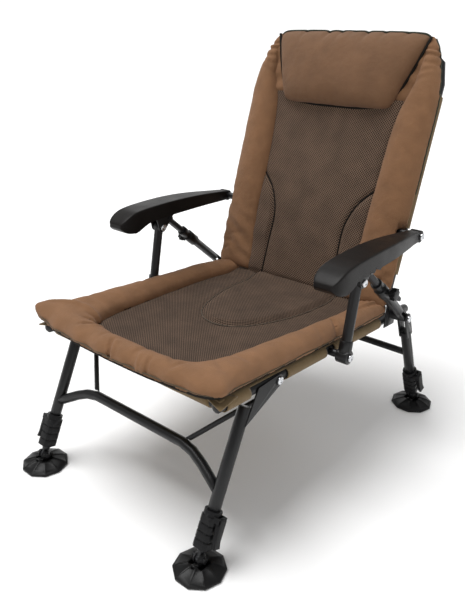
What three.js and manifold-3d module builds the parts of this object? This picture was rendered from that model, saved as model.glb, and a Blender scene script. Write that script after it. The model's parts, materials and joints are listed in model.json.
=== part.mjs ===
// A folding reclining fishing chair with padded seat and backrest, parallelogram armrests,
// telescopic recline struts and four extending legs on swivelling mud feet.
// Millimetres, +Z up, the sitter faces -Y, and +X is the sitter's left.
import * as THREE from "three";
import { mergeVertices } from "three/addons/utils/BufferGeometryUtils.js";
import Module from "manifold-3d";

const wasm = await Module();
wasm.setup();

// Clearances and counts shared by every piece
const FIT = 0.3;
const OVERRUN = 2;
const SKIN_LIFT = 0.5;
const TUBE_SIDES = 12;
const PIN_SIDES = 10;
const CURVE_STEPS = 5;

// Seat frame, side profile
const DEG = Math.PI / 180;
const seatHalfWidth = 257;
const backFrameHeight = 580;
const frontLegLength = 297;
const frontLegLeanDeg = 26;
const ballHeight = 28;
const railSideLap = 14;
const railX = seatHalfWidth - railSideLap;
const railRadius = 11;
const railAboveLeg = 34.36;
const railAheadOfLeg = 64.196;
const railFrontY = frontLegLength * Math.sin(frontLegLeanDeg * DEG) - railAheadOfLeg;
const railFrontZ = ballHeight + frontLegLength * Math.cos(frontLegLeanDeg * DEG) + railAboveLeg;
const railLength = 707;
const railDropDeg = 4.8;
const railNose = 14;
const railCapRise = 6;
const capEdgeShare = 0.6;
const capRiseShare = 0.7;
const frontBarRadius = 11;
const rearBarRadius = 8.5;
const rearBarAt = 545;

// Pivots along the rail, measured from the front bar's axis
const legPivotAt = 150;
const postPivotAt = 337.6;
const backPivotAt = 589.5;
const backPivotRise = 53.9;
const strutPivotAt = 610.7;
const strutPivotRise = 13.6;

// Bolts and rivets
const boltRadius = 4;
const boltHeadRadius = 8;
const boltHeadHeight = 3.5;
const rivetHeadRadius = 8.5;
const rivetHeadHeight = 3.2;

// Plane of the posts, struts and rear legs
const outriggerReach = 44;
const outerX = railX + outriggerReach;

// Posts and armrests
const postLength = 161.3;
const postLeanDeg = 11.1;
const postRadius = 11;
const postEyeRadius = 15.5;
const postEyeWidth = 26;
const postCollarRadius = 14;
const postCollarLength = 34;
const outriggerRadius = 8.5;

// Backrest frame
const backLeanDeg = 19.1;
const backTubeRadius = 11;
const backTubeTail = 14;
const backBend = 84;
const backBarInset = 9;
const backBarHalf = railX - backBend - backBarInset;
const stubRadius = 9;
const stubPinReach = 12;

// Armrest, from the post's upper bolt
const armWidth = 60;
const armNoseReach = 135;
const armNoseDrop = 9;
const armTopRise = 63;
const armFrontRise = 56;
const armRimRise = 29.5;
const armBossRadius = 14;
const armBossWidth = 25;
const armWall = 3.2;
const armNeckReach = 60;
const armEdge = 5;

// Steel bracket beneath the armrest
const bracketGap = 23.4;
const bracketPlate = 2.8;
const bracketToeRadius = 12;
const bracketToeTurns = 1.75;
const bracketFront = 26;
const bracketRear = 60;
const bracketFlange = 2.5;
const bracketFlangeDrop = 6;
const strutEndReach = 26.6;
const strutEndRise = 17.2;
const strutEndNubRadius = 7;

// Recline strut
const strutTubeRadius = 11;
const strutTubeLength = 212;
const strutBoreRadius = 8.8;
const strutBoreFloor = 12;
const strutRodRadius = 8.5;
const strutRodLength = 243;
const strutTongueWidth = 15;
const strutTongueHalf = 9;
const strutTongueLength = 45;
const strutEyeRadius = 10;
const strutRodEyeRadius = 9.5;
const strutRodEyeWidth = 14;
const clampAt = 168;
const clampLength = 34;
const clampRadius = 14.5;
const clampEarWidth = 13;
const clampEarReach = 23;
const ferruleRadius = 12.6;
const ferruleLength = 14;
const knobRadius = 12.5;
const knobHeight = 12;
const knobRidges = 8;
const knobRidgeRadius = 2.2;
const knobStudRadius = 3;
const knobLeverLength = 27;
const knobLeverWidth = 9;

// Leg frames
const legRadius = 12.5;
const legBoreRadius = 9.3;
const stemRadius = 9;
const rearLegLeanDeg = 22.5;
const rearLegReach = 285.5;
const rearLegClevis = 46;
const clevisCheek = 3.6;
const clevisRadius = 12.5;
const gussetPlate = 3.2;
const gussetRound = 12.8;
const gussetFootDrop = 35;
const gussetFootAlong = frontLegLength - gussetFootDrop;
const gussetTopRise = 62;
const gussetFootTurnDeg = 17;
const gussetTopTurnDeg = 11;
const crossbarRadius = 10.8;
const crossbarBendInset = 88;
const crossbarBendX = railX - crossbarBendInset;
const crossbarEase = 34;
const rearCrossbarRadius = 8.5;
const rearCrossbarDrop = 125;
const braceRadius = 5.3;
const braceFootInset = 113;
const braceFootX = railX - braceFootInset;
const braceHeadBack = 27;
const braceHeadDrop = 15;

// Leg lock, stem, knuckle and mud foot
const lockLow = 22;
const lockHigh = 96;
const crossbarFootRise = 32;
const crossbarArch = 53;
const crossbarLow = lockHigh + crossbarFootRise;
const crossbarHigh = crossbarLow + crossbarArch;
const lockShoulder = 42;
const lockHalfX = 16.5;
const lockHalfZ = 17;
const lockCorner = 6;
const lockSlopeDeg = 11;
const lockRibs = 3;
const lockRibDepth = 1.4;
const lockRibHeight = 3;
const lockCollarRadius = 17.5;
const lockCollarLength = 11;
const lockEarWidth = 3.6;
const lockEarReach = 11;
const leverPinAt = 84;
const leverPinRadius = 2.6;
const leverLength = 52;
const leverWidth = 17;
const leverThickness = 6;
const leverCamRadius = 5.5;
const leverTipRise = 5;
const stemTop = 162;
const tongueThickness = 8;
const tongueRadius = 9;
const knucklePinRadius = 3;
const knuckleBallRadius = 13;
const knuckleNubRadius = 6;
const knuckleNubReach = 15.5;
const rollAxisHeight = 12.8;
const rollPinRadius = 5;
const rollPinReach = 18.5;
const footRadius = 52;
const footRim = 6;
const footDome = 17;
const footCrownRadius = 24;
const footFacets = 10;
const footRibWidth = 4;
const footRibRise = 2.4;
const footKneeShare = 0.82;
const footKneeRiseShare = 0.42;
const ribEndShare = 0.9;
const ribKneeShare = 0.76;
const footEarThickness = 5;
const footEarRadius = 9.5;
const footPocketX = 17;
const footFloor = 5;
const footTreadDepth = 2;

// Rear bracket on the rail
const cheekPlate = 3;
const cheekRound = 14;
const cheekBack = 35;
const cheekBelow = 13.5;
const bracketTopDeg = 20;
const bossRadius = 11.5;

// Fabric
const padSpreadShare = 0.6;
const clothThickness = 3;
const sleeveWall = 2;
const slingSag = 15;
const slingRear = 556;
const windowFront = 68;
const windowRear = 178;
const postWindow = 15;
const coverStart = 62;
const shoulderDrop = 110;
const coverEnd = backFrameHeight - shoulderDrop;

// Seat cushion, heights above the rail's axis
const seatOverhang = 54;
const seatCrest = 50;
const seatFrontCrest = 50;
const seatPanelFront = 22;
const seatPanelRear = 27;
const seatBorderFront = 99;
const seatBorderRear = 61;
const seatMeshFrontHalf = seatHalfWidth - seatBorderFront;
const seatMeshRearHalf = seatHalfWidth - seatBorderRear;
const seatMeshFront = 22;
const seatEdge = 9;
const seatEdgeRun = 26;
const seatCornerRun = 74;
const seatCornerCut = 18;
const seatRearDrop = 17;
const seatRearRun = 62;
const seatLobeTip = 246;
const seatLobeInset = 139;
const seatLobeHalf = seatHalfWidth - seatLobeInset;
const seatLobeRise = 5;
const seatSeamWidth = 9;
const seatSeamDepth = 4;
const sideLeanShare = 0.85;
const swellShare = 0.7;
const lobeRoundShare = 0.55;
const dishShare = 0.7;

// Back cushion, offsets in front of the tube's axis
const backSideLap = 5;
const backHalfWidth = seatHalfWidth + backSideLap;
const backTopLap = 20;
const backTop = backFrameHeight + backTopLap;
const backTopInset = 44;
const backTopHalf = backHalfWidth - backTopInset;
const backShoulderAt = coverEnd;
const backStart = 12;
const backTongue = 29;
const backPanelFront = 33;
const backBolsterFront = 45;
const backBorder = 102;
const backMeshHalf = backHalfWidth - backBorder;
const backEdge = 5;
const backEdgeRun = 30;
const backToeRun = 118;
const backToeShare = 0.12;
const heelStartShare = 0.6;
const heelRunShare = 0.24;
const wingTopAt = 250;
const wingFootAt = 58;
const wingTopInset = 94;
const wingTopHalf = backHalfWidth - wingTopInset;
const wingFootInset = 158;
const wingFootHalf = backHalfWidth - wingFootInset;

// Head pillow
const pillowLap = 24;
const pillowHeight = 176;
const pillowEnd = backFrameHeight + pillowLap;
const pillowStart = pillowEnd - pillowHeight;
const pillowFootInset = 56;
const pillowFootHalf = backTopHalf - pillowFootInset;
const pillowTopInset = 10;
const pillowTopHalf = backTopHalf - pillowTopInset;
const pillowCrown = 64;
const pillowEdge = 7;
const pillowCorner = 26;
const pillowPinch = 5;
const pillowPinchShares = [-0.5, 0, 0.5];
const pillowGatherShare = 0.6;
const pillowSideRate = 2.2;
const pillowFootRate = 2.6;
const pillowHeadRate = 3.2;
const pillowPinchRate = 12;

const GREY_STEEL = { color: 0x1b1c1e, roughness: 0.45, metalness: 0.6 };
const finishes = {
  black_steel: GREY_STEEL,
  charcoal_steel: { color: 0x2b2d2f, roughness: 0.42, metalness: 0.6 },
  bright_steel: { color: 0xb9bcbf, roughness: 0.3, metalness: 1 },
  black_plastic: { color: 0x17181a, roughness: 0.55, metalness: 0 },
  arm_plastic: { color: 0x2a2b2d, roughness: 0.48, metalness: 0 },
  peach_skin: { color: 0x72553f, roughness: 0.9, metalness: 0 },
  spacer_mesh: { color: 0x3d302a, roughness: 0.95, metalness: 0 },
  olive_cloth: { color: 0x5c4a2e, roughness: 0.95, metalness: 0 },
};

// A closed geometry as a manifold solid.
function toSolid(geometry) {
  const bare = geometry.clone();
  bare.deleteAttribute("normal");
  bare.deleteAttribute("uv");
  const merged = mergeVertices(bare);
  return new wasm.Manifold(
    new wasm.Mesh({
      numProp: 3,
      vertProperties: merged.attributes.position.array,
      triVerts: new Uint32Array(merged.index.array),
    }),
  );
}

// A manifold solid as an indexed geometry.
function toGeometry(solid) {
  const mesh = solid.getMesh();
  const geometry = new THREE.BufferGeometry();
  geometry.setAttribute("position", new THREE.BufferAttribute(mesh.vertProperties, 3));
  geometry.setIndex(new THREE.BufferAttribute(mesh.triVerts, 1));
  return geometry;
}

function join(first, ...rest) {
  return toGeometry(rest.reduce((solid, next) => solid.add(toSolid(next)), toSolid(first)));
}

function cut(first, ...tools) {
  return toGeometry(tools.reduce((solid, tool) => solid.subtract(toSolid(tool)), toSolid(first)));
}

function common(first, second) {
  return toGeometry(toSolid(first).intersect(toSolid(second)));
}

// The same piece on the other side of the chair.
function mirrored(geometry) {
  const bare = geometry.clone();
  bare.deleteAttribute("normal");
  bare.deleteAttribute("uv");
  const flipped = mergeVertices(bare);
  flipped.scale(-1, 1, 1);
  const index = flipped.index.array;
  for (let i = 0; i < index.length; i += 3) {
    [index[i + 1], index[i + 2]] = [index[i + 2], index[i + 1]];
  }
  return flipped;
}

// Shapes in a local frame: x across the chair, y along the piece, z out of its face.

// A round bar along y.
function bar(x, z, from, to, radius, sides = TUBE_SIDES) {
  const geometry = new THREE.CylinderGeometry(radius, radius, to - from, sides);
  return geometry.translate(x, (from + to) / 2, z);
}

// A round pin along x.
function pin(fromX, toX, y, z, radius, sides = PIN_SIDES) {
  const geometry = new THREE.CylinderGeometry(radius, radius, toX - fromX, sides);
  return geometry.rotateZ(-Math.PI / 2).translate((fromX + toX) / 2, y, z);
}

// Radius of a bore whose flats clear a round pin.
const boreRadius = (radius) => (radius + FIT) / Math.cos(Math.PI / PIN_SIDES);

function block(fromX, toX, fromY, toY, fromZ, toZ) {
  const geometry = new THREE.BoxGeometry(toX - fromX, toY - fromY, toZ - fromZ);
  return geometry.translate((fromX + toX) / 2, (fromY + toY) / 2, (fromZ + toZ) / 2);
}

// An outline in the (y, z) plane extruded from one x to another.
function slab(shape, fromX, toX, bevel = 0) {
  const geometry = new THREE.ExtrudeGeometry(shape, {
    depth: toX - fromX - 2 * bevel,
    bevelEnabled: bevel > 0,
    bevelThickness: bevel,
    bevelSize: bevel,
    bevelOffset: -bevel,
    bevelSegments: 2,
    curveSegments: CURVE_STEPS,
  });
  const turn = new THREE.Matrix4().makeBasis(
    new THREE.Vector3(0, 1, 0),
    new THREE.Vector3(0, 0, 1),
    new THREE.Vector3(1, 0, 0),
  );
  return geometry.applyMatrix4(turn).translate(fromX + bevel, 0, 0);
}

// A profile of (radius, y) points turned about y.
function turned(profile, x, z, sides = TUBE_SIDES) {
  const points = profile.map(([radius, y]) => new THREE.Vector2(radius, y));
  return new THREE.LatheGeometry(points, sides).translate(x, 0, z);
}

// A round tube swept along a path.
function sweep(path, radius, steps, sides = PIN_SIDES) {
  const section = new THREE.Shape();
  for (let i = 0; i < sides; i += 1) {
    const angle = (2 * Math.PI * i) / sides;
    const x = radius * Math.cos(angle);
    const y = radius * Math.sin(angle);
    if (i === 0) section.moveTo(x, y);
    else section.lineTo(x, y);
  }
  section.closePath();
  return new THREE.ExtrudeGeometry(section, { steps, extrudePath: path, curveSegments: 1 });
}

// A bar between two points of the chair.
function strut(from, to, radius, sides = PIN_SIDES) {
  const along = new THREE.Vector3().subVectors(to, from);
  const geometry = new THREE.CylinderGeometry(radius, radius, along.length(), sides);
  const turn = new THREE.Quaternion().setFromUnitVectors(
    new THREE.Vector3(0, 1, 0),
    along.clone().normalize(),
  );
  geometry.applyQuaternion(turn);
  const middle = new THREE.Vector3().addVectors(from, to).multiplyScalar(0.5);
  return geometry.translate(middle.x, middle.y, middle.z);
}

// A local frame in the side plane: its y leans up by an angle from the chair's y.
class SideFrame {
  constructor(y, z, angleDeg) {
    this.y = y;
    this.z = z;
    this.angle = angleDeg * DEG;
  }

  place(geometry) {
    return geometry.rotateX(this.angle).translate(0, this.y, this.z);
  }

  point(along, out) {
    return [
      this.y + along * Math.cos(this.angle) - out * Math.sin(this.angle),
      this.z + along * Math.sin(this.angle) + out * Math.cos(this.angle),
    ];
  }

  // The local place of a point of the chair.
  local(y, z) {
    const dy = y - this.y;
    const dz = z - this.z;
    return [
      dy * Math.cos(this.angle) + dz * Math.sin(this.angle),
      dz * Math.cos(this.angle) - dy * Math.sin(this.angle),
    ];
  }
}

const VERTICAL_DEG = 90;
const railFrame = new SideFrame(railFrontY, railFrontZ, -railDropDeg);
const [backPivotY, backPivotZ] = railFrame.point(backPivotAt, backPivotRise);
const backFrame = new SideFrame(backPivotY, backPivotZ, VERTICAL_DEG - backLeanDeg);
const [postPivotY, postPivotZ] = railFrame.point(postPivotAt, 0);
const postFrame = new SideFrame(postPivotY, postPivotZ, VERTICAL_DEG - postLeanDeg);
const [armFrontY, armFrontZ] = postFrame.point(postLength, 0);
const armFrame = new SideFrame(armFrontY, armFrontZ, 0);
const armRearY = backPivotY + (armFrontY - postPivotY);
const armRearZ = backPivotZ + (armFrontZ - postPivotZ);
const [strutPivotY, strutPivotZ] = railFrame.point(strutPivotAt, strutPivotRise);
const [strutEndY, strutEndZ] = armFrame.point(strutEndReach, strutEndRise);
const strutAngleDeg = Math.atan2(strutEndZ - strutPivotZ, strutEndY - strutPivotY) / DEG;
const strutLength = Math.hypot(strutEndY - strutPivotY, strutEndZ - strutPivotZ);
const strutFrame = new SideFrame(strutPivotY, strutPivotZ, strutAngleDeg);
const [legPivotY, legPivotZ] = railFrame.point(legPivotAt, 0);
const frontLegFrame = new SideFrame(0, ballHeight, VERTICAL_DEG - frontLegLeanDeg);
const rearFootY = strutPivotY + rearLegReach * Math.sin(rearLegLeanDeg * DEG);
const rearLegFrame = new SideFrame(rearFootY, ballHeight, VERTICAL_DEG + rearLegLeanDeg);
const rearLegLength = (strutPivotZ - ballHeight) / Math.cos(rearLegLeanDeg * DEG);

const root = new THREE.Group();

function add(name, geometry, finish) {
  const mesh = new THREE.Mesh(geometry, new THREE.MeshStandardMaterial(finishes[finish]));
  geometry.computeVertexNormals();
  mesh.name = name;
  root.add(mesh);
}

// A piece of the sitter's left side and its mirror image.
function addPair(name, geometry, finish) {
  add(name + "_left", geometry, finish);
  add(name + "_right", mirrored(geometry), finish);
}

// Seat frame

const railOuterX = railX + railRadius;
const gussetInnerX = railOuterX + FIT;
const gussetOuterX = gussetInnerX + gussetPlate;

// A rail with domed ends and the rivet that its leg frame turns on.
function seatRail() {
  const rear = railLength;
  const tube = turned(
    [
      [0, -railNose - railCapRise],
      [railRadius * capEdgeShare, -railNose - railCapRise * capRiseShare],
      [railRadius, -railNose],
      [railRadius, rear],
      [railRadius * capEdgeShare, rear + railCapRise * capRiseShare],
      [0, rear + railCapRise],
    ],
    railX,
    0,
  );
  const shank = pin(railX, gussetOuterX + FIT + rivetHeadHeight, legPivotAt, 0, boltRadius);
  const head = pin(
    gussetOuterX + FIT,
    gussetOuterX + FIT + rivetHeadHeight,
    legPivotAt,
    0,
    rivetHeadRadius,
    TUBE_SIDES,
  );
  return railFrame.place(join(tube, shank, head));
}

// A cross bar coped round both rails.
function seatBar(at, radius) {
  const tube = pin(-railX, railX, at, 0, radius, TUBE_SIDES);
  const cope = bar(railX, 0, at - railRadius * 2, at + railRadius * 2, railRadius + FIT);
  return railFrame.place(cut(tube, cope, mirrored(cope)));
}

// The outrigger tube, its bolt and the bolt's head.
function postMount() {
  const eyeIn = outerX - postEyeWidth / 2;
  const eyeOut = outerX + postEyeWidth / 2;
  const cope = bar(railX, 0, -railRadius * 2, railRadius * 2, railRadius + FIT);
  const arm = pin(railX, eyeIn - FIT, 0, 0, outriggerRadius, TUBE_SIDES);
  const bolt = pin(eyeIn - FIT - OVERRUN, eyeOut + FIT + boltHeadHeight, 0, 0, boltRadius);
  const head = pin(eyeOut + FIT, eyeOut + FIT + boltHeadHeight, 0, 0, boltHeadRadius);
  const mount = join(cut(arm, cope), bolt, head);
  return railFrame.place(mount.translate(0, postPivotAt, 0));
}

// The cheeks that straddle the rail, the back pivot's bolt and the boss with the rear bolt.
function rearBracket() {
  const shape = new THREE.Shape();
  const topAngle = bracketTopDeg * DEG;
  const low = -cheekBelow;
  const backSide = backPivotAt + cheekBack;
  const frontSide = backPivotAt - cheekRound;
  shape.moveTo(frontSide, low);
  shape.lineTo(backSide, low);
  shape.lineTo(backSide, strutPivotRise + bossRadius / 2);
  shape.lineTo(
    backPivotAt + cheekRound * Math.cos(topAngle),
    backPivotRise + cheekRound * Math.sin(topAngle),
  );
  shape.absarc(backPivotAt, backPivotRise, cheekRound, topAngle, Math.PI, false);
  shape.closePath();
  const inner = railRadius + FIT;
  const outCheek = slab(shape, railX + inner, railX + inner + cheekPlate);
  const inCheek = slab(shape, railX - inner - cheekPlate, railX - inner);
  const bolt = pin(
    railX - inner - cheekPlate - boltHeadHeight,
    railX + inner + cheekPlate + boltHeadHeight,
    backPivotAt,
    backPivotRise,
    boltRadius,
  );
  const outHead = pin(
    railX + inner + cheekPlate,
    railX + inner + cheekPlate + boltHeadHeight,
    backPivotAt,
    backPivotRise,
    boltHeadRadius,
  );
  const clevisIn = outerX - strutTongueWidth / 2 - FIT - clevisCheek;
  const clevisOut = outerX + strutTongueWidth / 2 + FIT + clevisCheek;
  const boss = pin(railX + inner, clevisIn - FIT, strutPivotAt, strutPivotRise, bossRadius, TUBE_SIDES);
  const rearBolt = pin(
    clevisIn - FIT - OVERRUN,
    clevisOut + FIT + boltHeadHeight,
    strutPivotAt,
    strutPivotRise,
    boltRadius,
  );
  const rearHead = pin(
    clevisOut + FIT,
    clevisOut + FIT + boltHeadHeight,
    strutPivotAt,
    strutPivotRise,
    boltHeadRadius,
  );
  return railFrame.place(join(outCheek, inCheek, bolt, outHead, boss, rearBolt, rearHead));
}

addPair("seat_rail", seatRail(), "black_steel");
add("seat_front_bar", seatBar(0, frontBarRadius), "black_steel");
add("seat_rear_bar", seatBar(rearBarAt, rearBarRadius), "black_steel");
addPair("post_mount", postMount(), "black_steel");
addPair("rear_bracket", rearBracket(), "black_steel");

// Posts

// A post with its moulded lower eye and its bored upper end.
function armPost() {
  const half = postEyeWidth / 2;
  const tube = bar(outerX, 0, 0, postLength, postRadius);
  const eye = pin(outerX - half, outerX + half, 0, 0, postEyeRadius, TUBE_SIDES);
  const collar = bar(outerX, 0, boltHeadRadius + OVERRUN, postCollarLength, postCollarRadius);
  const top = pin(outerX - postRadius, outerX + postRadius, postLength, 0, postRadius, TUBE_SIDES);
  const bores = [0, postLength].map((at) =>
    pin(outerX - half - OVERRUN, outerX + half + OVERRUN, at, 0, boreRadius(boltRadius)),
  );
  return postFrame.place(cut(join(tube, eye, collar, top), ...bores));
}

addPair("arm_post", armPost(), "charcoal_steel");

// Backrest frame

const [armRearAlong, armRearOut] = backFrame.local(armRearY, armRearZ);
const armBossInX = outerX + stubPinReach - armBossWidth;

// Path of the left back tube, from its lower end round the shoulder.
function backTubePath(tail) {
  const path = new THREE.CurvePath();
  const corner = backFrameHeight - backBend;
  path.add(
    new THREE.LineCurve3(new THREE.Vector3(railX, -tail, 0), new THREE.Vector3(railX, corner, 0)),
  );
  path.add(
    new THREE.QuadraticBezierCurve3(
      new THREE.Vector3(railX, corner, 0),
      new THREE.Vector3(railX, backFrameHeight, 0),
      new THREE.Vector3(railX - backBend, backFrameHeight, 0),
    ),
  );
  path.add(
    new THREE.LineCurve3(
      new THREE.Vector3(railX - backBend, backFrameHeight, 0),
      new THREE.Vector3(backBarHalf + FIT, backFrameHeight, 0),
    ),
  );
  return path;
}

const BACK_TUBE_STEPS = 14;

// A back tube with the welded stub and pin that carry the armrest's rear end.
function backTube() {
  const tube = sweep(backTubePath(backTubeTail), backTubeRadius, BACK_TUBE_STEPS);
  const stub = pin(railX, armBossInX - FIT, armRearAlong, armRearOut, stubRadius, TUBE_SIDES);
  const shank = pin(
    armBossInX - FIT - OVERRUN,
    outerX + stubPinReach + FIT + boltHeadHeight,
    armRearAlong,
    armRearOut,
    boltRadius,
  );
  const head = pin(
    outerX + stubPinReach + FIT,
    outerX + stubPinReach + FIT + boltHeadHeight,
    armRearAlong,
    armRearOut,
    boltHeadRadius,
  );
  const web = block(
    railX + backTubeRadius / 2,
    railX + backTubeRadius + cheekPlate,
    armRearAlong - stubRadius,
    armRearAlong + stubRadius,
    0,
    armRearOut,
  );
  const bore = pin(railX - railRadius * 2, railX + railRadius * 2, 0, 0, boreRadius(boltRadius));
  return backFrame.place(join(cut(tube, bore), web, stub, shank, head));
}

function backTopBar() {
  return backFrame.place(
    pin(-backBarHalf, backBarHalf, backFrameHeight, 0, backTubeRadius, TUBE_SIDES),
  );
}

addPair("back_tube", backTube(), "black_steel");
add("back_top_bar", backTopBar(), "black_steel");

// Armrests

// The armrest's rear pivot seen from the post's upper bolt.
const armSpan = armRearY - armFrontY;
const armRearRise = armRearZ - armFrontZ;

// Side outline of an armrest, drawn in by a wall.
function armOutline(wall) {
  const rear = armSpan + armBossRadius;
  const nose = -armNoseReach;
  const shape = new THREE.Shape();
  const rise = armRearRise;
  shape.moveTo(nose + wall, armFrontRise - armBossRadius);
  shape.quadraticCurveTo(
    nose + wall,
    armFrontRise - wall,
    nose + armBossRadius * 2,
    armFrontRise + armEdge - wall,
  );
  shape.quadraticCurveTo(
    armSpan / 4,
    armTopRise + armEdge - wall,
    armSpan - armBossRadius * 2,
    rise + armBossRadius + armEdge / 2 - wall,
  );
  shape.quadraticCurveTo(rear - wall, rise + armBossRadius - wall, rear - wall, rise);
  shape.quadraticCurveTo(
    rear - wall,
    rise - armBossRadius + wall,
    armSpan,
    rise - armBossRadius + wall,
  );
  shape.quadraticCurveTo(
    armSpan - armBossRadius * 2,
    rise - armBossRadius + wall,
    armSpan - armNeckReach,
    armRimRise,
  );
  shape.lineTo(-armNeckReach, armRimRise);
  shape.quadraticCurveTo(
    nose + armBossRadius * 3,
    armRimRise,
    nose + armBossRadius * 2,
    armNoseDrop + wall,
  );
  shape.quadraticCurveTo(
    nose + armBossRadius,
    armNoseDrop - armEdge + wall,
    nose + armEdge + wall,
    armNoseDrop + armEdge + wall,
  );
  shape.closePath();
  return shape;
}

// Plan outline of an armrest, wide in front and drawn in to the rear boss.
function armPlan(wall) {
  const front = -armNoseReach + wall;
  const half = armWidth / 2;
  const middle = (outerX - armWidth / 2 + armBossInX) / 2;
  const insideX = outerX - half + armEdge + wall;
  const outsideX = outerX + half + armEdge - wall;
  const bossOut = outerX + stubPinReach - wall;
  const bossIn = armBossInX + wall;
  const shape = new THREE.Shape();
  shape.moveTo(insideX + armEdge * 2, front);
  shape.lineTo(outsideX - armEdge * 2, front);
  shape.quadraticCurveTo(outsideX, front, outsideX, front + armBossRadius * 2);
  shape.lineTo(outsideX, armSpan / 2);
  shape.quadraticCurveTo(outsideX, armSpan - armNeckReach, bossOut, armSpan - armBossRadius);
  shape.lineTo(bossOut, armSpan + armBossRadius + OVERRUN);
  shape.lineTo(bossIn, armSpan + armBossRadius + OVERRUN);
  shape.lineTo(bossIn, armSpan - armBossRadius);
  shape.quadraticCurveTo(middle + wall, armSpan - armNeckReach, insideX, armSpan / 2);
  shape.lineTo(insideX, front + armBossRadius * 2);
  shape.quadraticCurveTo(insideX, front, insideX + armEdge * 2, front);
  shape.closePath();
  return shape;
}

// The plan outline as a tall prism.
function armPrism(wall, low, high) {
  const geometry = new THREE.ExtrudeGeometry(armPlan(wall), {
    depth: high - low,
    bevelEnabled: false,
    curveSegments: CURVE_STEPS,
  });
  return geometry.translate(0, 0, low);
}

// An open shell with a faceted top edge, a hooking nose and a bored rear boss.
function armrest() {
  const high = armTopRise + armBossRadius;
  const wide = armWidth;
  const outline = slab(armOutline(0), outerX - wide, outerX + wide);
  const body = common(outline, armPrism(0, -high, high));
  const hollow = common(
    slab(armOutline(armWall), outerX - wide, outerX + wide),
    armPrism(armWall, -high, high),
  );
  const under = block(
    outerX - wide,
    outerX + wide,
    -armNoseReach + armBossRadius * 2 + armWall,
    armSpan - armNeckReach / 2 - armBossRadius,
    -high,
    armRimRise + armEdge,
  );
  const mouth = common(under, armPrism(armWall, -high, high));
  const keep = block(
    outerX - wide,
    outerX + wide,
    -armNoseReach + armBossRadius + armWall,
    armSpan - armBossRadius * 2,
    -high,
    high,
  );
  const bore = pin(outerX - wide, outerX + wide, armSpan, armRearRise, boreRadius(boltRadius));
  return armFrame.place(cut(body, common(hollow, keep), mouth, bore));
}

// The folded steel bracket that takes the post's bolt and flanks the strut's end.
function armBracket() {
  const ceiling = armTopRise - armWall - bracketFlangeDrop;
  const shape = new THREE.Shape();
  shape.absarc(0, 0, bracketToeRadius, Math.PI, Math.PI * bracketToeTurns, false);
  shape.lineTo(bracketRear, ceiling - bracketFlange * 2);
  shape.lineTo(bracketRear, ceiling);
  shape.lineTo(-bracketFront, ceiling);
  shape.lineTo(-bracketFront, ceiling - bracketFlange * 2);
  shape.closePath();
  const half = bracketGap / 2;
  const outPlate = slab(shape, outerX + half, outerX + half + bracketPlate);
  const inPlate = slab(shape, outerX - half - bracketPlate, outerX - half);
  const flange = block(
    outerX - half - bracketPlate,
    outerX + half + bracketPlate,
    -bracketFront,
    bracketRear,
    ceiling - bracketFlange,
    ceiling,
  );
  const bolt = pin(
    outerX - half - bracketPlate - boltHeadHeight,
    outerX + half + bracketPlate + boltHeadHeight,
    0,
    0,
    boltRadius,
  );
  const heads = [-1, 1].flatMap((side) => {
    const face = outerX + side * (half + bracketPlate);
    const low = Math.min(face, face + side * boltHeadHeight);
    const high = Math.max(face, face + side * boltHeadHeight);
    return [
      pin(low, high, 0, 0, boltHeadRadius),
      pin(low, high, strutEndReach, strutEndRise, strutEndNubRadius),
    ];
  });
  return armFrame.place(join(outPlate, inPlate, flange, bolt, ...heads));
}

addPair("armrest", armrest(), "arm_plastic");
addPair("armrest_bracket", armBracket(), "black_steel");

// Struts

// The outer tube: tongue, bored barrel, clamp collar with its ear and ferrule.
function strutTube() {
  const half = strutTongueWidth / 2;
  const tongue = join(
    pin(outerX - half, outerX + half, 0, 0, strutEyeRadius, TUBE_SIDES),
    block(outerX - half, outerX + half, 0, strutTongueLength + OVERRUN, -strutTongueHalf, strutTongueHalf),
  );
  const barrel = bar(outerX, 0, strutTongueLength, strutTubeLength, strutTubeRadius);
  const collar = bar(
    outerX,
    0,
    clampAt - clampLength / 2,
    clampAt + clampLength / 2,
    clampRadius,
  );
  const ear = block(
    outerX,
    outerX + clampEarReach - FIT * 2,
    clampAt - clampEarWidth / 2,
    clampAt + clampEarWidth / 2,
    -clampEarWidth / 2,
    clampEarWidth / 2,
  );
  const ferrule = bar(
    outerX,
    0,
    strutTubeLength - ferruleLength,
    strutTubeLength,
    ferruleRadius,
  );
  const stud = pin(
    outerX,
    outerX + clampEarReach + knobHeight - OVERRUN,
    clampAt,
    0,
    knobStudRadius,
  );
  const bore = bar(outerX, 0, strutBoreFloor, strutTubeLength + OVERRUN, strutBoreRadius);
  const mouthHalf = strutBoreRadius + OVERRUN;
  const slot = block(
    outerX - mouthHalf,
    outerX + mouthHalf,
    strutBoreFloor,
    strutTongueLength,
    -strutTongueHalf * 2,
    -strutTongueHalf * 2 + OVERRUN,
  );
  const eyeBore = pin(outerX - half - OVERRUN, outerX + half + OVERRUN, 0, 0, boreRadius(boltRadius));
  const hollowed = cut(join(tongue, barrel, collar, ear, ferrule), bore, slot, eyeBore);
  const studKept = cut(stud, bar(outerX, 0, clampAt - clampLength, clampAt + clampLength, strutTubeRadius));
  return strutFrame.place(join(hollowed, studKept));
}

// The inner rod with its flat upper eye.
function strutRod() {
  const half = strutRodEyeWidth / 2;
  const shaft = bar(outerX, 0, strutLength - strutRodLength, strutLength, strutRodRadius);
  const eye = pin(outerX - half, outerX + half, strutLength, 0, strutRodEyeRadius, TUBE_SIDES);
  return strutFrame.place(join(shaft, eye));
}

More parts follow.
